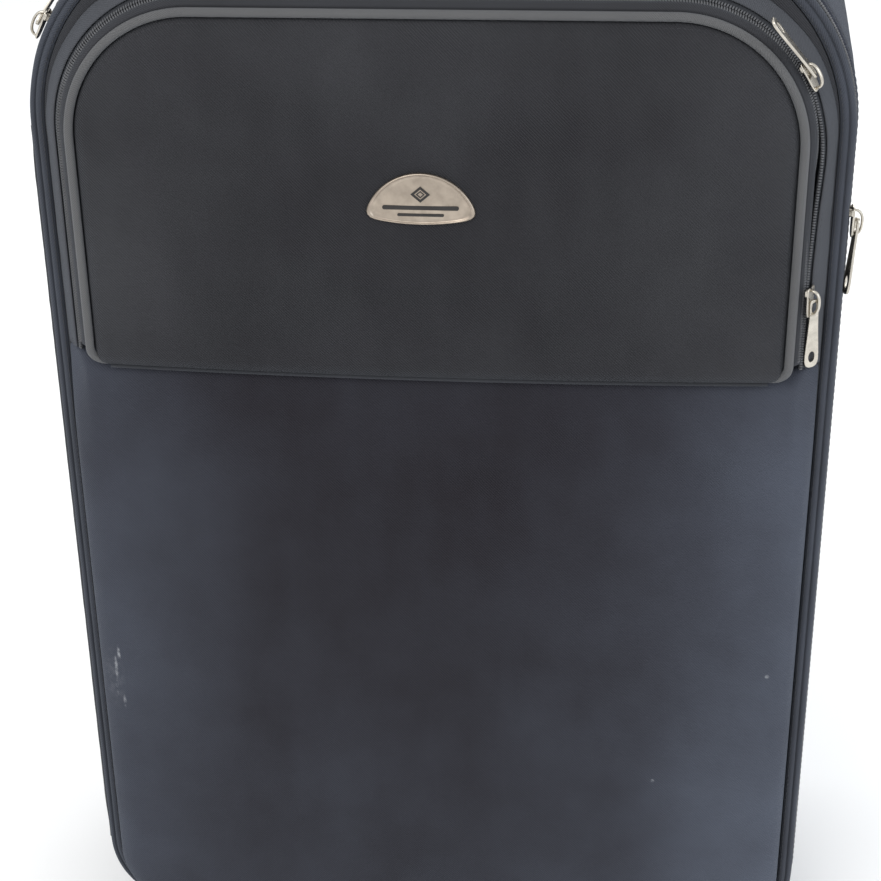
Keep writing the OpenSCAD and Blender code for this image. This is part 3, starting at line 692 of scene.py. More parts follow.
def shell():
    """The wall of cloth. It bellies out a little, and lies flat round the carry handles."""
    rows = []
    for y, inset, share in SHELL_RINGS:
        low_share = max(share, (inset - 0.5) / 3.9 * (y < -28))
        path = outline(0.0, TOP_R + (BACK_TOP_R - TOP_R) * share,
                       BOTTOM_R + (BACK_BOTTOM_R - BOTTOM_R) * low_share)
        x, z = path[0].T
        handles = np.maximum(near(z, SIDE_GRIP_Z, 120) * (x < 0), near(x, 0, 120) * (z > 500))
        flat = 1 - near(y, 85, 22) * handles
        out = np.where(inset < 0, -inset * flat * (0.4 + 0.6 * np.abs(path[1][:, 0])), -inset)
        out = out + uneven(swept_line(path, 0, -y), 55.0, 0.45, 3.0) * flat * np.clip((y + 24) / 20, 0, 1)
        rows.append(swept_line(path, out, -y))
    trimmed(Net().sheet(rows, wrap_path=True)).build(
        "case_cloth", "case_body", "shell_fabric", "main_shell", thick=1.2, box_uv=True)
    # seam stitches in the wall, behind the zip
    path = outline(-0.25)
    lines = [(swept_line(path, 0.35, fwd), outward(path)) for fwd in (26.6, 21.4)]
    thread_along("case_stitches", "case_body", lines, pitch=4.2, length=3.1, radius=0.36)


def back():
    """The rear panel with its three seams, inside the piping round the rear edge."""
    seam_x, seam_z, apart = 151, 205, 3.4
    x, z, d = pad_grid(inner_rim(6.4, BACK_TOP_R, BACK_BOTTOM_R), 6.0, 12.0, 24)
    depth = BACK_Y - 3.2 * (1 - np.clip(d / 9, 0, 1) ** 0.5) - 0.25
    seams = sum(np.exp(-((x - s) / 1.6) ** 2) for s in (-seam_x, seam_x)) + np.exp(-((z - seam_z) / 1.6) ** 2)
    depth = depth - 0.9 * np.clip(seams, 0, 1)
    depth += uneven(on_grid(x, z, depth), 60.0, 0.5, 9.0) * np.clip(d / 20, 0, 1)
    points, faces = pad(x, z, -np.minimum(depth, BACK_Y), 5.5 - BACK_Y)
    trimmed(Net().add(points, faces)).build(
        "back_cloth", "case_body", "shell_fabric", "back_panel", box_uv=True)
    lines = [[(s + o, BACK_Y - 0.3, z) for z in np.arange(60, 660, 6.0)]
             for s in (-seam_x, seam_x) for o in (-apart, apart)]
    lines += [[(x, BACK_Y - 0.3, seam_z + o) for x in np.arange(-112, 112, 6.0)] for o in (-apart, apart)]
    thread_along("back_stitches", "case_body", [(line, (0, 1, 0)) for line in lines],
                 pitch=5.0, length=3.8, radius=0.42)
    line = swept_line(outline(3.2, BACK_TOP_R, BACK_BOTTOM_R), 0, 2.1 - BACK_Y)
    trimmed(Net().cord(line, 3.0, 10, closed=True)).build(
        "back_piping_cord", "case_body", "black_binding", "back_piping")


def case_lining():
    """Lining of the wall, the quilted floor over the tubes, and the binding where they meet."""
    path = outline(5.4, r_low=BACK_BOTTOM_R)
    ripple = uneven(swept_line(path, 0, 0), 30.0, 0.7, 4.0)
    profile = [(1.0, 28.6), (0.2, 28.8), (-0.6, 27.5), (ripple * 0.5, 15)]
    profile += [(ripple - 0.5 * math.sin(k * 0.9), -y) for k, y in enumerate(np.arange(0, BOARD_Y - 3, 18.0))]
    profile += [(-0.4, 2 - BOARD_Y)]
    trimmed(Net().sheet(sweep(path, profile), wrap_path=True)).build(
        "wall_lining", "case_body", "lining", "side_lining", thick=0.7, box_uv=True)
    x, z, d = pad_grid(inner_rim(7.6, TOP_R, BACK_BOTTOM_R), 6.0, 11.0, 24)
    quilt = 1.3 * np.abs(np.sin((x + z) * math.pi / 120) * np.sin((x - z) * math.pi / 120)) ** 0.6
    points, faces = pad(x, z, quilt * np.clip(d / 30, 0, 1) - BOARD_Y - 1.4, -(BOARD_Y + 3))
    trimmed(Net().add(points, faces)).build("floor_lining", "case_body", "lining", "cover_board", box_uv=True)
    line = swept_line(outline(8.6, r_low=BACK_BOTTOM_R), 0, 0.4 - BOARD_Y)
    trimmed(Net().cord(line, 1.6, closed=True)).build("floor_binding", "case_body", "black_binding")


def packing_straps():
    """Slack webbing from each side to the buckle."""
    net = Net()
    for s in (-1, 1):
        xs = np.linspace(s * 208, s * 12, 40)
        slack = BOARD_Y - 3 - 3.5 * np.sin(np.clip((np.abs(xs) - 25) / 183, 0, 1) * math.pi)
        mid = 359.5 + 1.5 * np.sin(xs / 40)
        section = ((-12.5, 0), (-12.3, 0.9), (12.3, 0.9), (12.5, 0))
        net.sheet([np.stack([xs, slack - t, mid + h], 1) for h, t in section], wrap_profile=True, caps=True)
    net.build("packing_webbing", "case_body", "webbing", "packing_straps")


# ---------- Zips ----------

def zip_half(name, body, node, path, place, waver, sign, width):
    """One half of a zip along a path: its tape and its coil. place gives (outward, forward) on the tape."""
    top = [place(f, waver * k / 3) for k, f in enumerate((0.8, 2.4, 4.2, width))]
    profile = top + [place(f, -0.7) for f in (width, 0.8)]
    Net().sheet(sweep(path, profile), wrap_profile=True, caps=True).build(
        name.format("tape"), body, "zip_tape", node)
    line, across, up = (swept_line(path, *place(f, h)) for f, h in ((0, 0), (1, 0), (0, 1)))
    net = Net()
    coil(net, line, across - line, up - line, 0.0 if sign > 0 else 0.75)
    net.build(name.format("coil"), body, "coil")


def main_zip():
    path = outline(0.0, step=3.0, closed=False)
    waver = uneven(swept_line(path, -SINK, ZIP_FWD), 14.0, 0.12, 2.0)
    for name, body, sign in (("case", "case_body", -1), ("lid", "lid", 1)):
        zip_half("main_{}_" + name, body, "main_zip_" + name, path,
                 lambda f, h: (h - SINK, ZIP_FWD + sign * f), waver, sign, 6.1)
        seam = swept_line(path, 0.15 - SINK, ZIP_FWD + sign * 4.3)
        thread_along("main_tape_stitches_" + name, body, [(seam, outward(path))],
                     pitch=2.4, length=1.7, radius=0.2)


def opening(path):
    """How far the pocket zip stands open along its path: only between its two sliders."""
    bend_z = FLAP_TOP - FLAP_R
    x, z = path[0].T
    angle = np.arctan2(z - bend_z, x - (FLAP_W - FLAP_R))
    s = np.where(z > bend_z, np.clip(angle, 0, OPEN_ANGLE) * FLAP_R, z - bend_z)
    top, low = OPEN_ANGLE * FLAP_R - 8, node_box("flap_slider_lower")[1][2] - 2 - bend_z
    t = np.clip((s - low) / (top - low), 0, 1)
    return np.where(x > 100, np.sin(t * math.pi) ** 1.2, 0.0)


def bend(path):
    """How far the pocket zip strays from its straight run, up and down the right side."""
    x, z = path[0].T
    stray = 2.4 * np.exp(-((z - 570) / 17) ** 2) - ZIP_TUCK * np.clip((550 - z) / 40, 0, 1)
    return np.where(x > 100, stray, 0.0)


def pocket_zip():
    for name, sign, low in (("lid", 1, FLAP_LOW + 6), ("flap", -1, FLAP_LOW + 10)):
        path = flap_arch(low, 3.0)
        apart = opening(path)
        shift = bend(path) + apart * (0.4 if sign > 0 else -0.7 - 2.4 * apart)
        sink = apart * (0.0 if sign > 0 else -0.9)
        waver = uneven(swept_line(path, 0, 60), 12.0, 0.15, 5.0)
        zip_half("pocket_{}_" + name, name, "pocket_zip_" + name, path,
                 lambda f, h: on_slope(SLOPE_ZIP + shift + sign * f, h + sink), waver, sign, 6.0)


def gusset():
    """A wide strip of the slope on the lid's side, a narrow one on the flap's, and tacks low down."""
    path = flap_arch(FLAP_LOW + 6, 4.0)
    stray = bend(path)
    pucker = uneven(swept_line(path, 0, 60), 16.0, 0.55, 7.0)
    edge = SLOPE_LEN - 0.4
    rows = []
    over_tape = [(SLOPE_ZIP + s, h)
                 for s, h in ((5.0, 0.75), (5.4, 1.2), (6.2, 1.3), (8.4, 1.4), (10.5, 1.0))]
    for s, h in over_tape + [(edge, 0.5), (SLOPE_LEN + 0.8, 0.2)]:
        out, fwd = on_slope(s + stray * min(1, (edge - s) / 4) * (s < edge), h)
        lift = pucker * min(1, (s - SLOPE_ZIP - 5) / 3)
        rows.append(swept_line(path, out + lift * 0.77, fwd + lift * 0.64))
    Net().sheet(rows).build("gusset_cloth_lid", "lid", "gusset", "pocket_gusset", thick=0.8)
    seam, above = (swept_line(path, *on_slope(SLOPE_ZIP + 6.9 + stray, h)) for h in (1.45, 2.45))
    thread_along("gusset_stitches", "lid", [(seam, above - seam)], pitch=3.4, length=2.4, radius=0.26)
    profile = [on_slope(s, h) for s, h in ((0.2, 0.0), (1.8, 0.2), (4.0, 0.35), (6.2, 0.45))]
    Net().sheet(sweep(flap_arch(FLAP_LOW + 10, 4.0), profile)).build(
        "gusset_cloth_flap", "flap", "black_binding", thick=0.8)
    for side, s in (("left", -1), ("right", 1)):
        lines = []
        for k in range(3):
            out, fwd = on_slope(SLOPE_LEN - 6 + k, 1.9)
            line = [(s * (FLAP_W + out - 8 + 1.2 * i), -(fwd + 6.4 - 0.95 * i), FLAP_LOW + 7.5 + 1.1 * k)
                    for i in range(8)]
            lines.append((line, (s * 0.77, -0.64, 0)))
        thread_along("gusset_tack_" + side, "lid", lines, pitch=2.2, length=2.0, radius=0.3)


# ---------- Lid ----------

def edge_band():
    """The rounded band round the lid's face, with a groove between its two rolls."""
    path = outline()
    p = uneven(swept_line(path, 0, 45), 22.0, 0.45, 1.0)
    b, f = BAND_FWD, FACE_FWD
    profile = [(-5.0, b - 0.3), (-2.9, b - 0.1), (-1.9 + p * 0.4, b + 0.9), (-1.8 + p * 0.6, b + 2.2),
               (-2.5 + p * 0.7, f - 1.5), (-3.4, f - 0.5 + p * 0.5), (-4.6, f - 0.3 + p * 0.5),
               (-5.3, f - 0.9), (-5.6, f - 1.7), (-5.9, f - 0.9), (-6.5, f + 0.1),
               (-7.7, f + 0.6 + p * 0.6), (-9.2, f + 0.2 + p * 0.5), (-10.4, f - 0.9), (-10.8, f - 2.3),
               (-8.0, f - 3.0), (-6.2, b + 0.6)]
    Net().sheet(sweep(path, profile), wrap_path=True, wrap_profile=True).build(
        "lid_edge_band", "lid", "band_fabric", "lid_band", sub=1)
    thread_along("lid_edge_stitches", "lid", [(swept_line(path, -9.2, f + 0.35), (0, -1, 0))],
                 pitch=3.4, length=2.4, radius=0.3)


def lid_linings():
    """Backing of the pocket, the lining on the lid's inner face, its binding and its flat pocket."""
    f = FACE_FWD
    for name, inset, lo, hi, material, slot, node in (
            ("lid_backing", 10.9, f - 2.6, f - 0.4, "black_binding", "shell_fabric", "lid_board"),
            ("lid_inner_lining", 12.0, f - 4.6, f - 3.2, "lining", "lining", "lid_lining")):
        x, z, d = pad_grid(inner_rim(inset, TOP_R, BOTTOM_R), 6.0, 11.0, 24)
        wave = uneven(on_grid(x, z), 45.0, 0.5, inset) * np.clip(d / 25, 0, 1)
        points, faces = pad(x, z, hi, lo + np.abs(wave))
        Net().add(points, faces).build(name, "lid", material, node, slot=slot, box_uv=True)
    line = swept_line(outline(13.2), 0, f - 4.2)
    Net().cord(line, 1.3, closed=True).build("lid_lining_binding", "lid", "black_binding")
    half_w, low, high = 150, 120, 430
    x, z = np.meshgrid(np.linspace(-half_w, half_w, 41), np.linspace(low, high, 41))
    edge = np.minimum(1, np.minimum(half_w - np.abs(x), np.minimum(z - low, high - z)) / 12)
    sag = 1.6 * edge * (0.7 + 0.3 * np.sin(x / 17 + np.sin(z / 30)))
    points, faces = pad(x, z, f - 4.4, f - 4.6 - sag)
    Net().add(points, faces).build("lid_inner_pocket", "lid", "lining", box_uv=True)


def hinge():
    """Fabric strip between the case and the lid, down the left side."""
    low, high = BASE_Z + BOTTOM_R + 2, TOP_Z - TOP_R - 2
    zs = np.linspace(low, high, 80)
    rows = []
    for out, fwd in ((-0.6, 27.0), (0.0, 29.6), (0.5, 31.6), (1.0, 33.6), (1.55, 35.2), (1.6, 36.0),
                     (1.55, 36.8), (1.0, 38.4), (0.4, 40.4), (-0.5, 42.2), (-1.6, 44.2)):
        wave = uneven([(0, fwd, z) for z in zs], 9.0, 0.18, 6.0)
        wave -= (out + 1.6) * (1 - np.clip(np.minimum(zs - low, high - zs) / 30, 0, 1)) ** 2
        rows.append(np.stack([-(HALF_W + out + wave), np.full(len(zs), -fwd), zs], 1))
    strip = Net().sheet(rows + [r + [1.0, 0, 0] for r in reversed(rows)], wrap_profile=True, caps=True).build(
        "hinge_cloth", None, "black_binding", "lid_hinge_strip")
    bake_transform(strip)


def pocket_pad():
    """The big lower panel: a padded sheet with rounded edges, sewn down all round."""
    rim = _, _, high, _, _ = panel_hi[0], panel_lo[2], panel_hi[2], 3.0, BOTTOM_R - 12
    x, z, d = pad_grid(rim, 2.6, 7.5, 24)
    t = 1 - np.clip(d / 18, 0, 1)
    front = FACE_FWD + 8.0 + 9.0 * np.sqrt(1 - t ** 2) + crown(x, z, rim, 4.2, 0.7, 0.15)
    calm = np.clip(d / 30, 0, 1)
    p = on_grid(x, z)
    front += (uneven(p, 70.0, 0.9, 11.0) + uneven(p, 26.0, 0.22, 12.0)) * calm
    front -= 0.8 * np.exp(-((d - 4.0) / 1.3) ** 2)
    # a soft curved crease low on the right
    arc = np.hypot(x - 70, z - 275) - 150
    place = np.clip((x - 85) / 40, 0, 1) * np.clip((195 - z) / 30, 0, 1)
    front -= 1.8 * np.exp(-(arc / 4.5) ** 2) * place * calm
    # tucked under the flap and down the gusset's slope at the top
    slope = SLOPE_START[1] + 1.0 - np.maximum(np.abs(x) - FLAP_W + 0.4, 0) * math.tan(SLOPE)
    share = np.clip((z - high + 75) / 75, 0, 1) ** 1.5
    front = np.where(slope < front, front * (1 - share) + slope * share, front)
    behind = FACE_FWD + 0.4 + 9.5 * np.clip((z - 345) / 95, 0, 1) ** 1.5
    swollen("pocket_pad", "lid", "panel_fabric", "pocket_panel",
            (x, z, front, np.minimum(behind, front - 1.6)), 0.7, d > 14, 9.0)


# ---------- Flap ----------

def flap_pad():
    """The padded flap, whose lower edge bows down between its ends."""
    rim = w, low, _, _, _ = FLAP_W - 4.9, FLAP_LOW, FLAP_TOP - 4.9, FLAP_R - 4.9, 5.0
    x, z, d = pad_grid(rim, 1.7, 6.0, 15)
    t = 1 - np.clip(d / 9, 0, 1)
    front = FLAP_FWD - 5.2 + 5.4 * np.sqrt(1 - t ** 2) + crown(x, z, rim, 4.6, 0.6, 0.1)
    front -= 0.45 * np.exp(-((d - 3.2) / 1.3) ** 2) * np.clip((z - low - 6) / 16, 0, 1)
    p = on_grid(x, z)
    front += (uneven(p, 60.0, 0.5, 21.0) + uneven(p, 22.0, 0.16, 22.0)) * np.clip(d / 20, 0, 1)
    bow = FLAP_BOW * (1 - (x / w) ** 2) * np.clip((low + 60 - z) / 60, 0, 1) ** 2
    return swollen("flap_pad", "flap", "flap_fabric", "flap_panel", (x, z - bow, front, FLAP_BACK + 0.2),
                   0.3, d > 9, 5.4)


def flap_trim():
    """Piping up both sides and over the top, curled in at the lower corners, with its stitches."""
    curl, back_y = 8.0, PIPING_R - FLAP_FWD
    bottom = FLAP_LOW + curl + 2.5
    ends = []
    for s in (-1, 1):
        ends.append([(s * (FLAP_W - PIPING_R - curl + curl * math.cos(a)), back_y + 2.8 * math.sin(a) ** 2,
                      bottom - curl * math.sin(a)) for a in np.linspace(0.25, math.pi / 2 + 0.25, 9)])
        x, y, z = ends[-1][-1]
        ends[-1].append((x - s * 3, y + 2.2, z + 0.6))
    line = np.concatenate([ends[0][::-1], swept_line(flap_arch(bottom, 3.0), -PIPING_R, -back_y), ends[1]])
    Net().cord(line, PIPING_R, 12).build("flap_piping_cord", "flap", "grey_piping", "flap_piping")
    path = flap_arch(FLAP_LOW + 14, 3.0)
    seam = swept_line(path, -2 * PIPING_R - 3.1, FLAP_FWD - 1.75)
    thread_along("flap_stitches", "flap", [(seam, (0, -1, 0))], pitch=3.3, length=2.4, radius=0.3)
    profile = [(0.4 - 2 * PIPING_R, FLAP_FWD - 4.6), (-PIPING_R, FLAP_FWD - 5.4), (0.1, FLAP_FWD - 5.3)]
    Net().sheet(sweep(path, profile)).build("piping_flange", "flap", "black_binding", thick=0.6)
    # a dark cord along the flap's lower edge stands in for the shadow under it: painted shade
    xs = np.linspace(13 - FLAP_W, FLAP_W - 13, 60)
    shade_line = on_grid(xs, FLAP_LOW - 0.5 - FLAP_BOW * (1 - (xs / FLAP_W) ** 2), 5.4 - FLAP_FWD)
    Net().cord(shade_line, 1.5).build("flap_edge_shade", "flap", "zip_tape", slot="black_binding")


def front_height(ob, x, z):
    """How far forward a pad's surface stands at a place, in millimetres."""
    at = [v.co / MM for v in ob.data.vertices if v.co.y < -(FLAP_FWD - 4) * MM]
    return -min(at, key=lambda p: (p.x - x) ** 2 + (p.z - z) ** 2).y


def half_moon(sides=96):
    """The badge's outline about a point just under its middle: two arcs, with its tips cut off."""
    centre = np.array([0, -1])
    aim = np.stack([np.cos(turn(sides)), np.sin(turn(sides))], 1)
    reach = [29.8 / np.maximum(np.abs(aim[:, 0]), 1e-9)]
    for z, r in ((-17, 31.5), (116, 130)):
        off = centre - [0, z]
        along = aim @ off
        reach.append(np.sqrt(along ** 2 - off @ off + r ** 2) - along)
    ring = np.min(reach, 0)[:, None] * aim
    for _ in range(3):
        ring = (np.roll(ring, 1, 0) + 2 * ring + np.roll(ring, -1, 0)) / 4
    return ring, centre


def badge(base):
    """Half-moon plate with a raised rim and a plain, generic mark."""
    def at(x, z, height):
        return x + BADGE_X, -(base + height), z + BADGE_Z

    ring, centre = half_moon()
    levels = [(0.985, -0.2), (1.0, 0.3), (1.0, 1.1), (0.992, 1.7), (0.975, 2.1), (0.955, 2.25), (0.935, 2.15),
              (0.918, 1.75), (0.905, 1.45)]
    levels += [(0.9 - 0.09 * k, 1.4 + 0.75 * (1 - (1 - k / 10) ** 2)) for k in range(1, 10)]
    rows = [[at(x, z, height) for x, z in centre + ring * share] for share, height in levels]
    Net().sheet(rows, wrap_path=True).face(rows[-1]).face(rows[0]).build(
        "badge_plate", "flap", "badge_metal", "badge")
    marks = Net()
    for z0, w, h in ((-4.4, 41, 2.3), (-8.4, 25, 1.5)):
        bar = [(math.copysign((w - h) / 2, math.cos(a)) + h / 2 * math.cos(a), z0 + h / 2 * math.sin(a))
               for a in turn(28) + 0.05]
        marks.sheet([[at(x, z, height) for x, z in bar] for height in (1.5, 2.22)], wrap_path=True)
        marks.face([at(x, z, 2.22) for x, z in bar])
    for share in (1.0, 0.45):
        outer, inner = ([(x * k, z * k + 3.0) for x, z in ((0, 4.4), (5.2, 0), (0, -4.4), (-5.2, 0))]
                        for k in (share, share * 0.64))
        for k in range(4):
            side = outer[k], outer[(k + 1) % 4], inner[(k + 1) % 4], inner[k]
            marks.add([at(x, z, height) for height in (2.42, 1.6) for x, z in side],
                      [(0, 1, 2, 3), (7, 6, 5, 4), (0, 4, 5, 1), (1, 5, 6, 2), (2, 6, 7, 3), (3, 7, 4, 0)])
    mark = marks.build("badge_mark", "flap", "badge_mark")
    mark.data.polygons.foreach_set("use_smooth", [False] * len(mark.data.polygons))


# ---------- Sliders and pulls ----------

TAPE, PLATE_TOP, PIVOT = 0.8, 4.0, 5.2     # heights above the zip's line


def placed(origin, x_axis, z_axis):
    """A matrix with X away from the wall and Z along the zip."""
    m = np.eye(4)
    m[:3, 0], m[:3, 1], m[:3, 2], m[:3, 3] = x_axis, np.cross(z_axis, x_axis), z_axis, origin
    return m


def slider_frames():
    """For each slider: its place, whether its pull points up, and the pull's roll, yaw and lean."""
    (zip_out, zip_fwd), (tuck_out, tuck_fwd) = on_slope(SLOPE_ZIP, 0), on_slope(SLOPE_ZIP - ZIP_TUCK, 0)
    a, u = math.radians(28), OPEN_ANGLE
    reach_a, reach_u = TOP_R - SINK, FLAP_R + zip_out
    lay = math.pi / 2 - SLOPE - math.radians(17)
    out, fwd = math.cos(lay), math.sin(lay)
    corner = (TOP_R - HALF_W - reach_a * math.cos(a), -ZIP_FWD, TOP_Z - TOP_R + reach_a * math.sin(a))
    return {
        "main_{}_a": (placed(corner, (-math.cos(a), 0, math.sin(a)), (math.sin(a), 0, math.cos(a))),
                      True, (0, 34, -3)),
        "main_{}_b": (placed((HALF_W - SINK, -ZIP_FWD, middle("main_slider_b")[2]), (1, 0, 0), (0, 0, 1)),
                      False, (14, -6, 5)),
        "flap_{}_upper": (placed((FLAP_W - FLAP_R + reach_u * math.cos(u), -zip_fwd,
                                  FLAP_TOP - FLAP_R + reach_u * math.sin(u)),
                                 (out * math.cos(u), -fwd, out * math.sin(u)),
                                 (-math.sin(u), 0, math.cos(u))), True, (14, 21, -1)),
        "flap_{}_lower": (placed((FLAP_W + tuck_out, -tuck_fwd, middle("flap_slider_lower")[2]),
                                 (out, -fwd, 0), (0, 0, 1)), False, (-44, 9, 2)),
    }


def slider_net():
    """Two plates with side rails and a divider between them, and the loop that holds the pull."""
    half = [(-9.0, 0.0), (-9.0, 1.6), (-8.3, 2.9), (-6.8, 3.7), (-4.0, 4.1), (0.0, 4.3), (2.6, 4.6),
            (3.8, 5.2), (7.2, 5.2), (8.3, 4.6), (8.8, 3.0), (8.2, 1.4), (7.8, 0.0)]
    shape = [(y, z) for z, y in half] + [(-y, z) for z, y in half[-2:0:-1]]
    net = Net().plate(PLATE_TOP - 1.2, PLATE_TOP, shape).plate(-TAPE - 1.8, -TAPE - 0.6, shape)
    for s in (-1, 1):
        rail = [(s * y, z) for y, z in ((4.5, 3.6), (5.2, 3.6), (5.2, 7.6), (4.5, 7.6))]
        net.plate(2.0, PLATE_TOP - 0.9, rail, 0.12)
    net.plate(-TAPE - 0.8, PLATE_TOP - 1.0, [(-0.35, 2.0), (0.35, 2.0), (0.35, 7.0), (-0.35, 7.0)], 0.08)
    loop = [(-0.4, -7.3), (1.0, -7.6), (2.6, -7.1), (3.9, -5.6), (4.6, -3.0), (4.8, 0.0), (4.5, 2.8),
            (3.5, 5.0), (1.7, 6.3), (-0.4, 6.6)]
    return net.cord([(PLATE_TOP + x, 0.0, z) for x, z in loop], 1.3, 10, flat=0.65, up=(0, 1, 0))


def pull_curve():
    """The pull's outline, eye and hole: (y, z) hanging down from the pin."""
    outer = [(0.0, 1.9), (1.7, 1.6), (2.6, 0.4), (2.75, -2.0), (2.6, -6.5), (2.75, -11.0), (3.25, -20.0),
             (3.9, -29.0), (4.15, -34.5), (3.9, -38.0), (2.6, -40.3), (0.0, -41.0)]
    eye = [(1.35, -0.9), (1.35, -4.9), (0.8, -5.9), (-0.8, -5.9), (-1.35, -4.9), (-1.35, -0.9), (-0.9, -0.1),
           (0.9, -0.1)]
    hole = [(1.75 * math.cos(a), -34.2 + 3.4 * math.sin(a)) for a in turn(16)]
    return outer + [(-y, z) for y, z in outer[-2:0:-1]], eye, hole


def pull_mesh(name):
    """A flat curve with holes, given thickness and a round edge, as a mesh."""
    data = bpy.data.curves.new(name + "_shape", "CURVE")
    data.dimensions, data.fill_mode = "2D", "BOTH"
    data.extrude, data.bevel_depth, data.bevel_resolution, data.offset = 0.42 * MM, 0.36 * MM, 3, -0.36 * MM
    for loop in pull_curve():
        spline = data.splines.new("BEZIER")
        spline.bezier_points.add(len(loop) - 1)
        spline.use_cyclic_u, spline.resolution_u = True, 3
        for point, (y, z) in zip(spline.bezier_points, loop):
            point.co = (y * MM, z * MM, 0)
            point.handle_left_type = point.handle_right_type = "AUTO"
    carrier = link(name + "_shape", data)
    bpy.context.view_layer.update()
    mesh = bpy.data.meshes.new_from_object(carrier.evaluated_get(bpy.context.evaluated_depsgraph_get()))
    bpy.data.objects.remove(carrier)
    mesh.name = name
    return mesh


def sliders():
    # curve (x, y) becomes the frame's (y, z); the plate is thin along x
    upright = Matrix(((0, 0, 1, 0), (1, 0, 0, 0), (0, 1, 0, 0), (0, 0, 0, 1)))
    lift = Matrix.Translation(Vector(((PIVOT + 0.8) * MM, 0, 0)))
    for pattern, (matrix, upwards, angles) in slider_frames().items():
        name, pull = pattern.format("slider"), pattern.format("pull")
        slider_net().moved(matrix).build(name + "_body", name, "nickel", name, sub=1)
        roll, yaw, lean = (math.radians(a) for a in angles)
        spin = Matrix.Rotation(yaw, 4, "X") @ Matrix.Rotation(lean, 4, "Y") @ Matrix.Rotation(roll, 4, "Z")
        spin = spin @ Matrix.Rotation(math.pi if upwards else 0.0, 4, "Y")
        world = Matrix(matrix.tolist())
        world.translation = world.translation * MM
        mesh = pull_mesh(pull + "_plate")
        mesh.transform(world @ lift @ spin @ upright)
        turn_outward(mesh, weld=True)
        piece(pull + "_plate", mesh, pull, "nickel", (pull,))
        mesh.polygons.foreach_set("use_smooth", [len(f.vertices) == 4 for f in mesh.polygons])


# ---------- Carry handles ----------

def carry_handle(name, matrix):
    """A padded grip on two arms that turn down into the mounts, with stitches on both faces."""
    bend_r, height = 12.0, 16.0
    half = [(-GRIP_REACH, h, 2.0, 5.6) for h in (-20, -12, -4, 2)]     # x, height, half width, half thickness
    for a in np.linspace(0.15, 1.0, 6) * math.pi / 2:
        k = math.sin(a) ** 2
        half.append((bend_r * (1 - math.cos(a)) - GRIP_REACH, 4 + bend_r * math.sin(a),
                     2.0 + 8.5 * k, 5.6 - 1.8 * k))
    half += [(x, height + 0.2, 11.5, 3.8) for x in np.linspace(-70, -61, 4)]
    for x in np.linspace(-58, 0, 14):
        t = min(1.0, (x + 60) / 9)
        half.append((x, height + 0.2 + 0.8 * (1 - (x / 60) ** 2), 11.7 + 1.3 * t, 3.9 + 1.5 * t))
    x, h, wide, thick = np.concatenate([half, np.array(half)[-2::-1] * [-1, 1, 1, 1]]).T
    points, side = on_grid(x, h), np.array([0, 1.0, 0])
    up = unit(np.cross(unit(np.gradient(points, axis=0)), side))
    rows = []
    for a in turn(20):
        c, s = (math.copysign(abs(v) ** 0.7, v) for v in (math.cos(a), math.sin(a)))
        rows.append(points + np.outer(wide * c, side) + up * (thick * s)[:, None])
    Net().sheet(rows, wrap_profile=True, caps=True).moved(matrix).build(
        name + "_pad", name, "grip_rubber", name + "_grip", sub=1)
    net = Net()
    xs = np.linspace(-52, 52, 60)
    for s in (-1, 1):
        for y in (-7.5, 7.5):
            line = on_grid(xs, height + 1.0 - 0.8 * (xs / 60) ** 2 + s * 5.15, y)
            stitches(net, line, (0, 0, s), 4.0, 3.0, 0.4)
        for x in (-61.5, -64.5, 61.5, 64.5):
            line = [(x, y, height + 0.2 + s * 3.75) for y in np.linspace(-8, 8, 10)]
            stitches(net, line, (0, 0, s), 3.2, 2.4, 0.35)
    net.moved(matrix).build(name + "_stitches", name, "thread")


def carry_handles():
    top = np.eye(4)
    top[:3, 3] = (0, TOP_GRIP_Y, TOP_Z)
    carry_handle("top_handle", top)
    carry_handle("side_handle", np.array([[0, 0, -1, -HALF_W], [0, 1, 0, SIDE_GRIP_Y], [1, 0, 0, SIDE_GRIP_Z],
                                          [0, 0, 0, 1.0]]))


# ---------- CAD nodes that stay ----------

def paint(material, bevel, *nodes):
    """Gives CAD nodes their material and softens their edges."""
    for n in nodes:
        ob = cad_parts[n]
        ob.data.materials.clear()
        ob.data.materials.append(M[material])
        if bevel:
            ob.modifiers.new("weld", "WELD").merge_threshold = 1e-6
            b = ob.modifiers.new("edge", "BEVEL")
            b.width, b.segments, b.limit_method, b.angle_limit = bevel * MM, 2, "ANGLE", math.radians(40)
            b.use_clamp_overlap, b.harden_normals = True, True


def cad_nodes():
    paint("steel", 0.3, "screws", "wheel_axles", "release_rods", "lock_pins")
    paint("steel", 0, "button_springs")
    paint("tube_aluminium", 0.25, "outer_tubes", "middle_tubes", "inner_tubes")
    paint("black_plastic", 0.8, "base_foot", "wheel_housing_left", "wheel_housing_right", "tube_bracket",
          "handle_bezel", "frame_hoop", "top_handle_mounts", "side_handle_mounts", "strap_buckle",
          "skid_rails")
    paint("grip_rubber", 2.2, "grip_lower", "grip_upper")
    paint("button_plastic", 0.6, "release_button")
    paint("hub_plastic", 0.5, "wheel_hub_left", "wheel_hub_right")
    paint("wheel_tread", 0, "tyre_left", "tyre_right")


# ---------- Stage ----------

def area_light(name, place, aim, size, power, colour):
    light = bpy.data.lights.new(name, "AREA")
    light.shape, light.size, light.energy, light.color = "SQUARE", size, power, colour
    ob = link(name, light)
    ob.location = place
    ob.rotation_mode = "QUATERNION"
    ob.rotation_quaternion = (Vector(aim) - Vector(place)).to_track_quat("-Z", "Y")


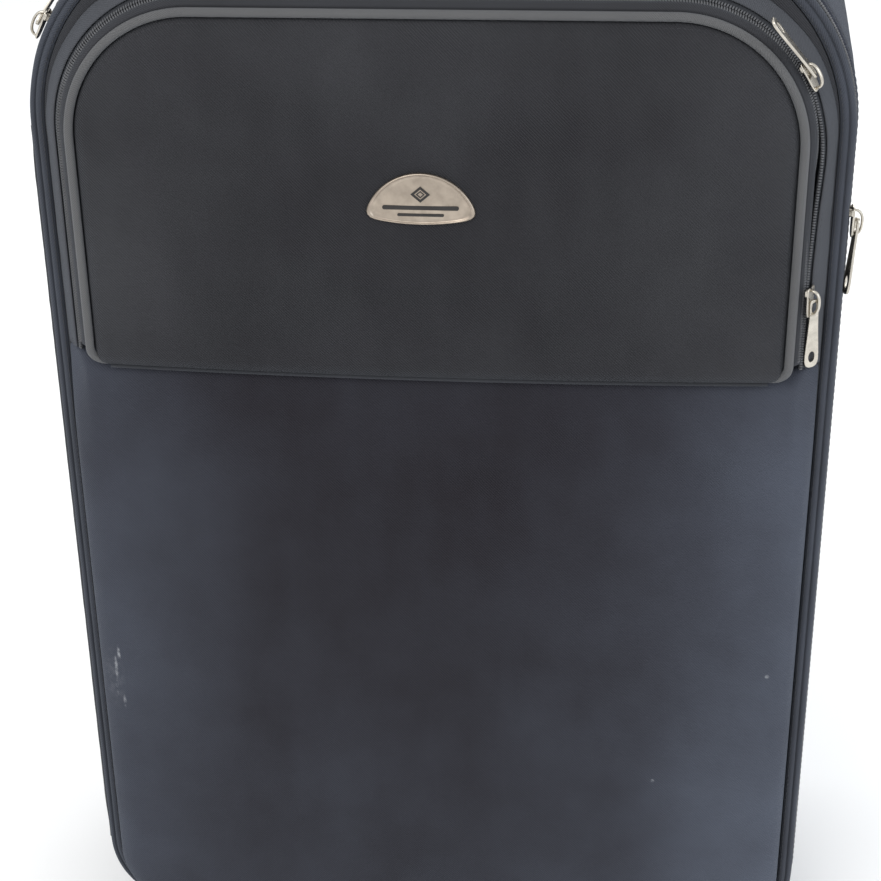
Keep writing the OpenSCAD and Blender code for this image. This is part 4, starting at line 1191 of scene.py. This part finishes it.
def stage():
    mesh = bpy.data.meshes.new("floor")
    s = 14.0
    mesh.from_pydata([(-s, -s, 0), (s, -s, 0), (s, s, 0), (-s, s, 0)], [], [(0, 1, 2, 3)])
    m = Mat()
    m.mat.name = "floor_pale"
    cloud = m.noise(m.place(), 0.002, 2.0)
    m.set(Base_Color=m.mix(cloud, (0.95, 0.95, 0.95), (0.97, 0.97, 0.97)), Roughness=0.9)
    mesh.materials.append(m.mat)
    link("floor", mesh)
    world = bpy.data.worlds.new("studio")
    world.use_nodes = True
    background = world.node_tree.nodes["Background"].inputs
    background[0].default_value, background[1].default_value = (0.97, 0.985, 1.0, 1.0), 0.95
    bpy.context.scene.world = world
    bpy.context.scene.view_settings.view_transform = "Standard"
    area_light("key", (-0.9, -1.7, 2.3), (0, 0, 0.45), 1.6, 26, (1.0, 0.98, 0.95))
    area_light("fill", (2.0, -1.2, 1.2), (0, 0, 0.35), 1.4, 14, (0.86, 0.92, 1.0))
    area_light("back", (0.3, 2.2, 2.0), (0, 0, 0.5), 1.6, 22, (1.0, 1.0, 1.0))


def camera():
    """Looks down on the front from a little to its right."""
    place, lens = (0.1039, -0.9948, 0.8523), 74.43
    az, el, roll = (math.radians(a) for a in (-6.18, 25.62, -0.8))
    d = Vector((math.sin(az) * math.cos(el), math.cos(az) * math.cos(el), -math.sin(el)))
    right = Vector((math.cos(az), -math.sin(az), 0))
    up = right.cross(d)
    data = bpy.data.cameras.new("camera")
    data.lens, data.sensor_width, data.clip_start, data.clip_end = lens, 36.0, 0.01, 100.0
    across, along = right * math.cos(roll) + up * math.sin(roll), up * math.cos(roll) - right * math.sin(roll)
    m = Matrix((across, along, -d)).transposed().to_4x4()
    m.translation = place
    bpy.context.scene.camera = link("camera", data)
    bpy.context.scene.camera.matrix_world = m


shell()
back()
case_lining()
packing_straps()
main_zip()
edge_band()
lid_linings()
hinge()
pocket_pad()
flap = flap_pad()
flap_trim()
badge(front_height(flap, BADGE_X, BADGE_Z) - 0.4)
pocket_zip()
gusset()
sliders()
carry_handles()
cad_nodes()
stage()
camera()
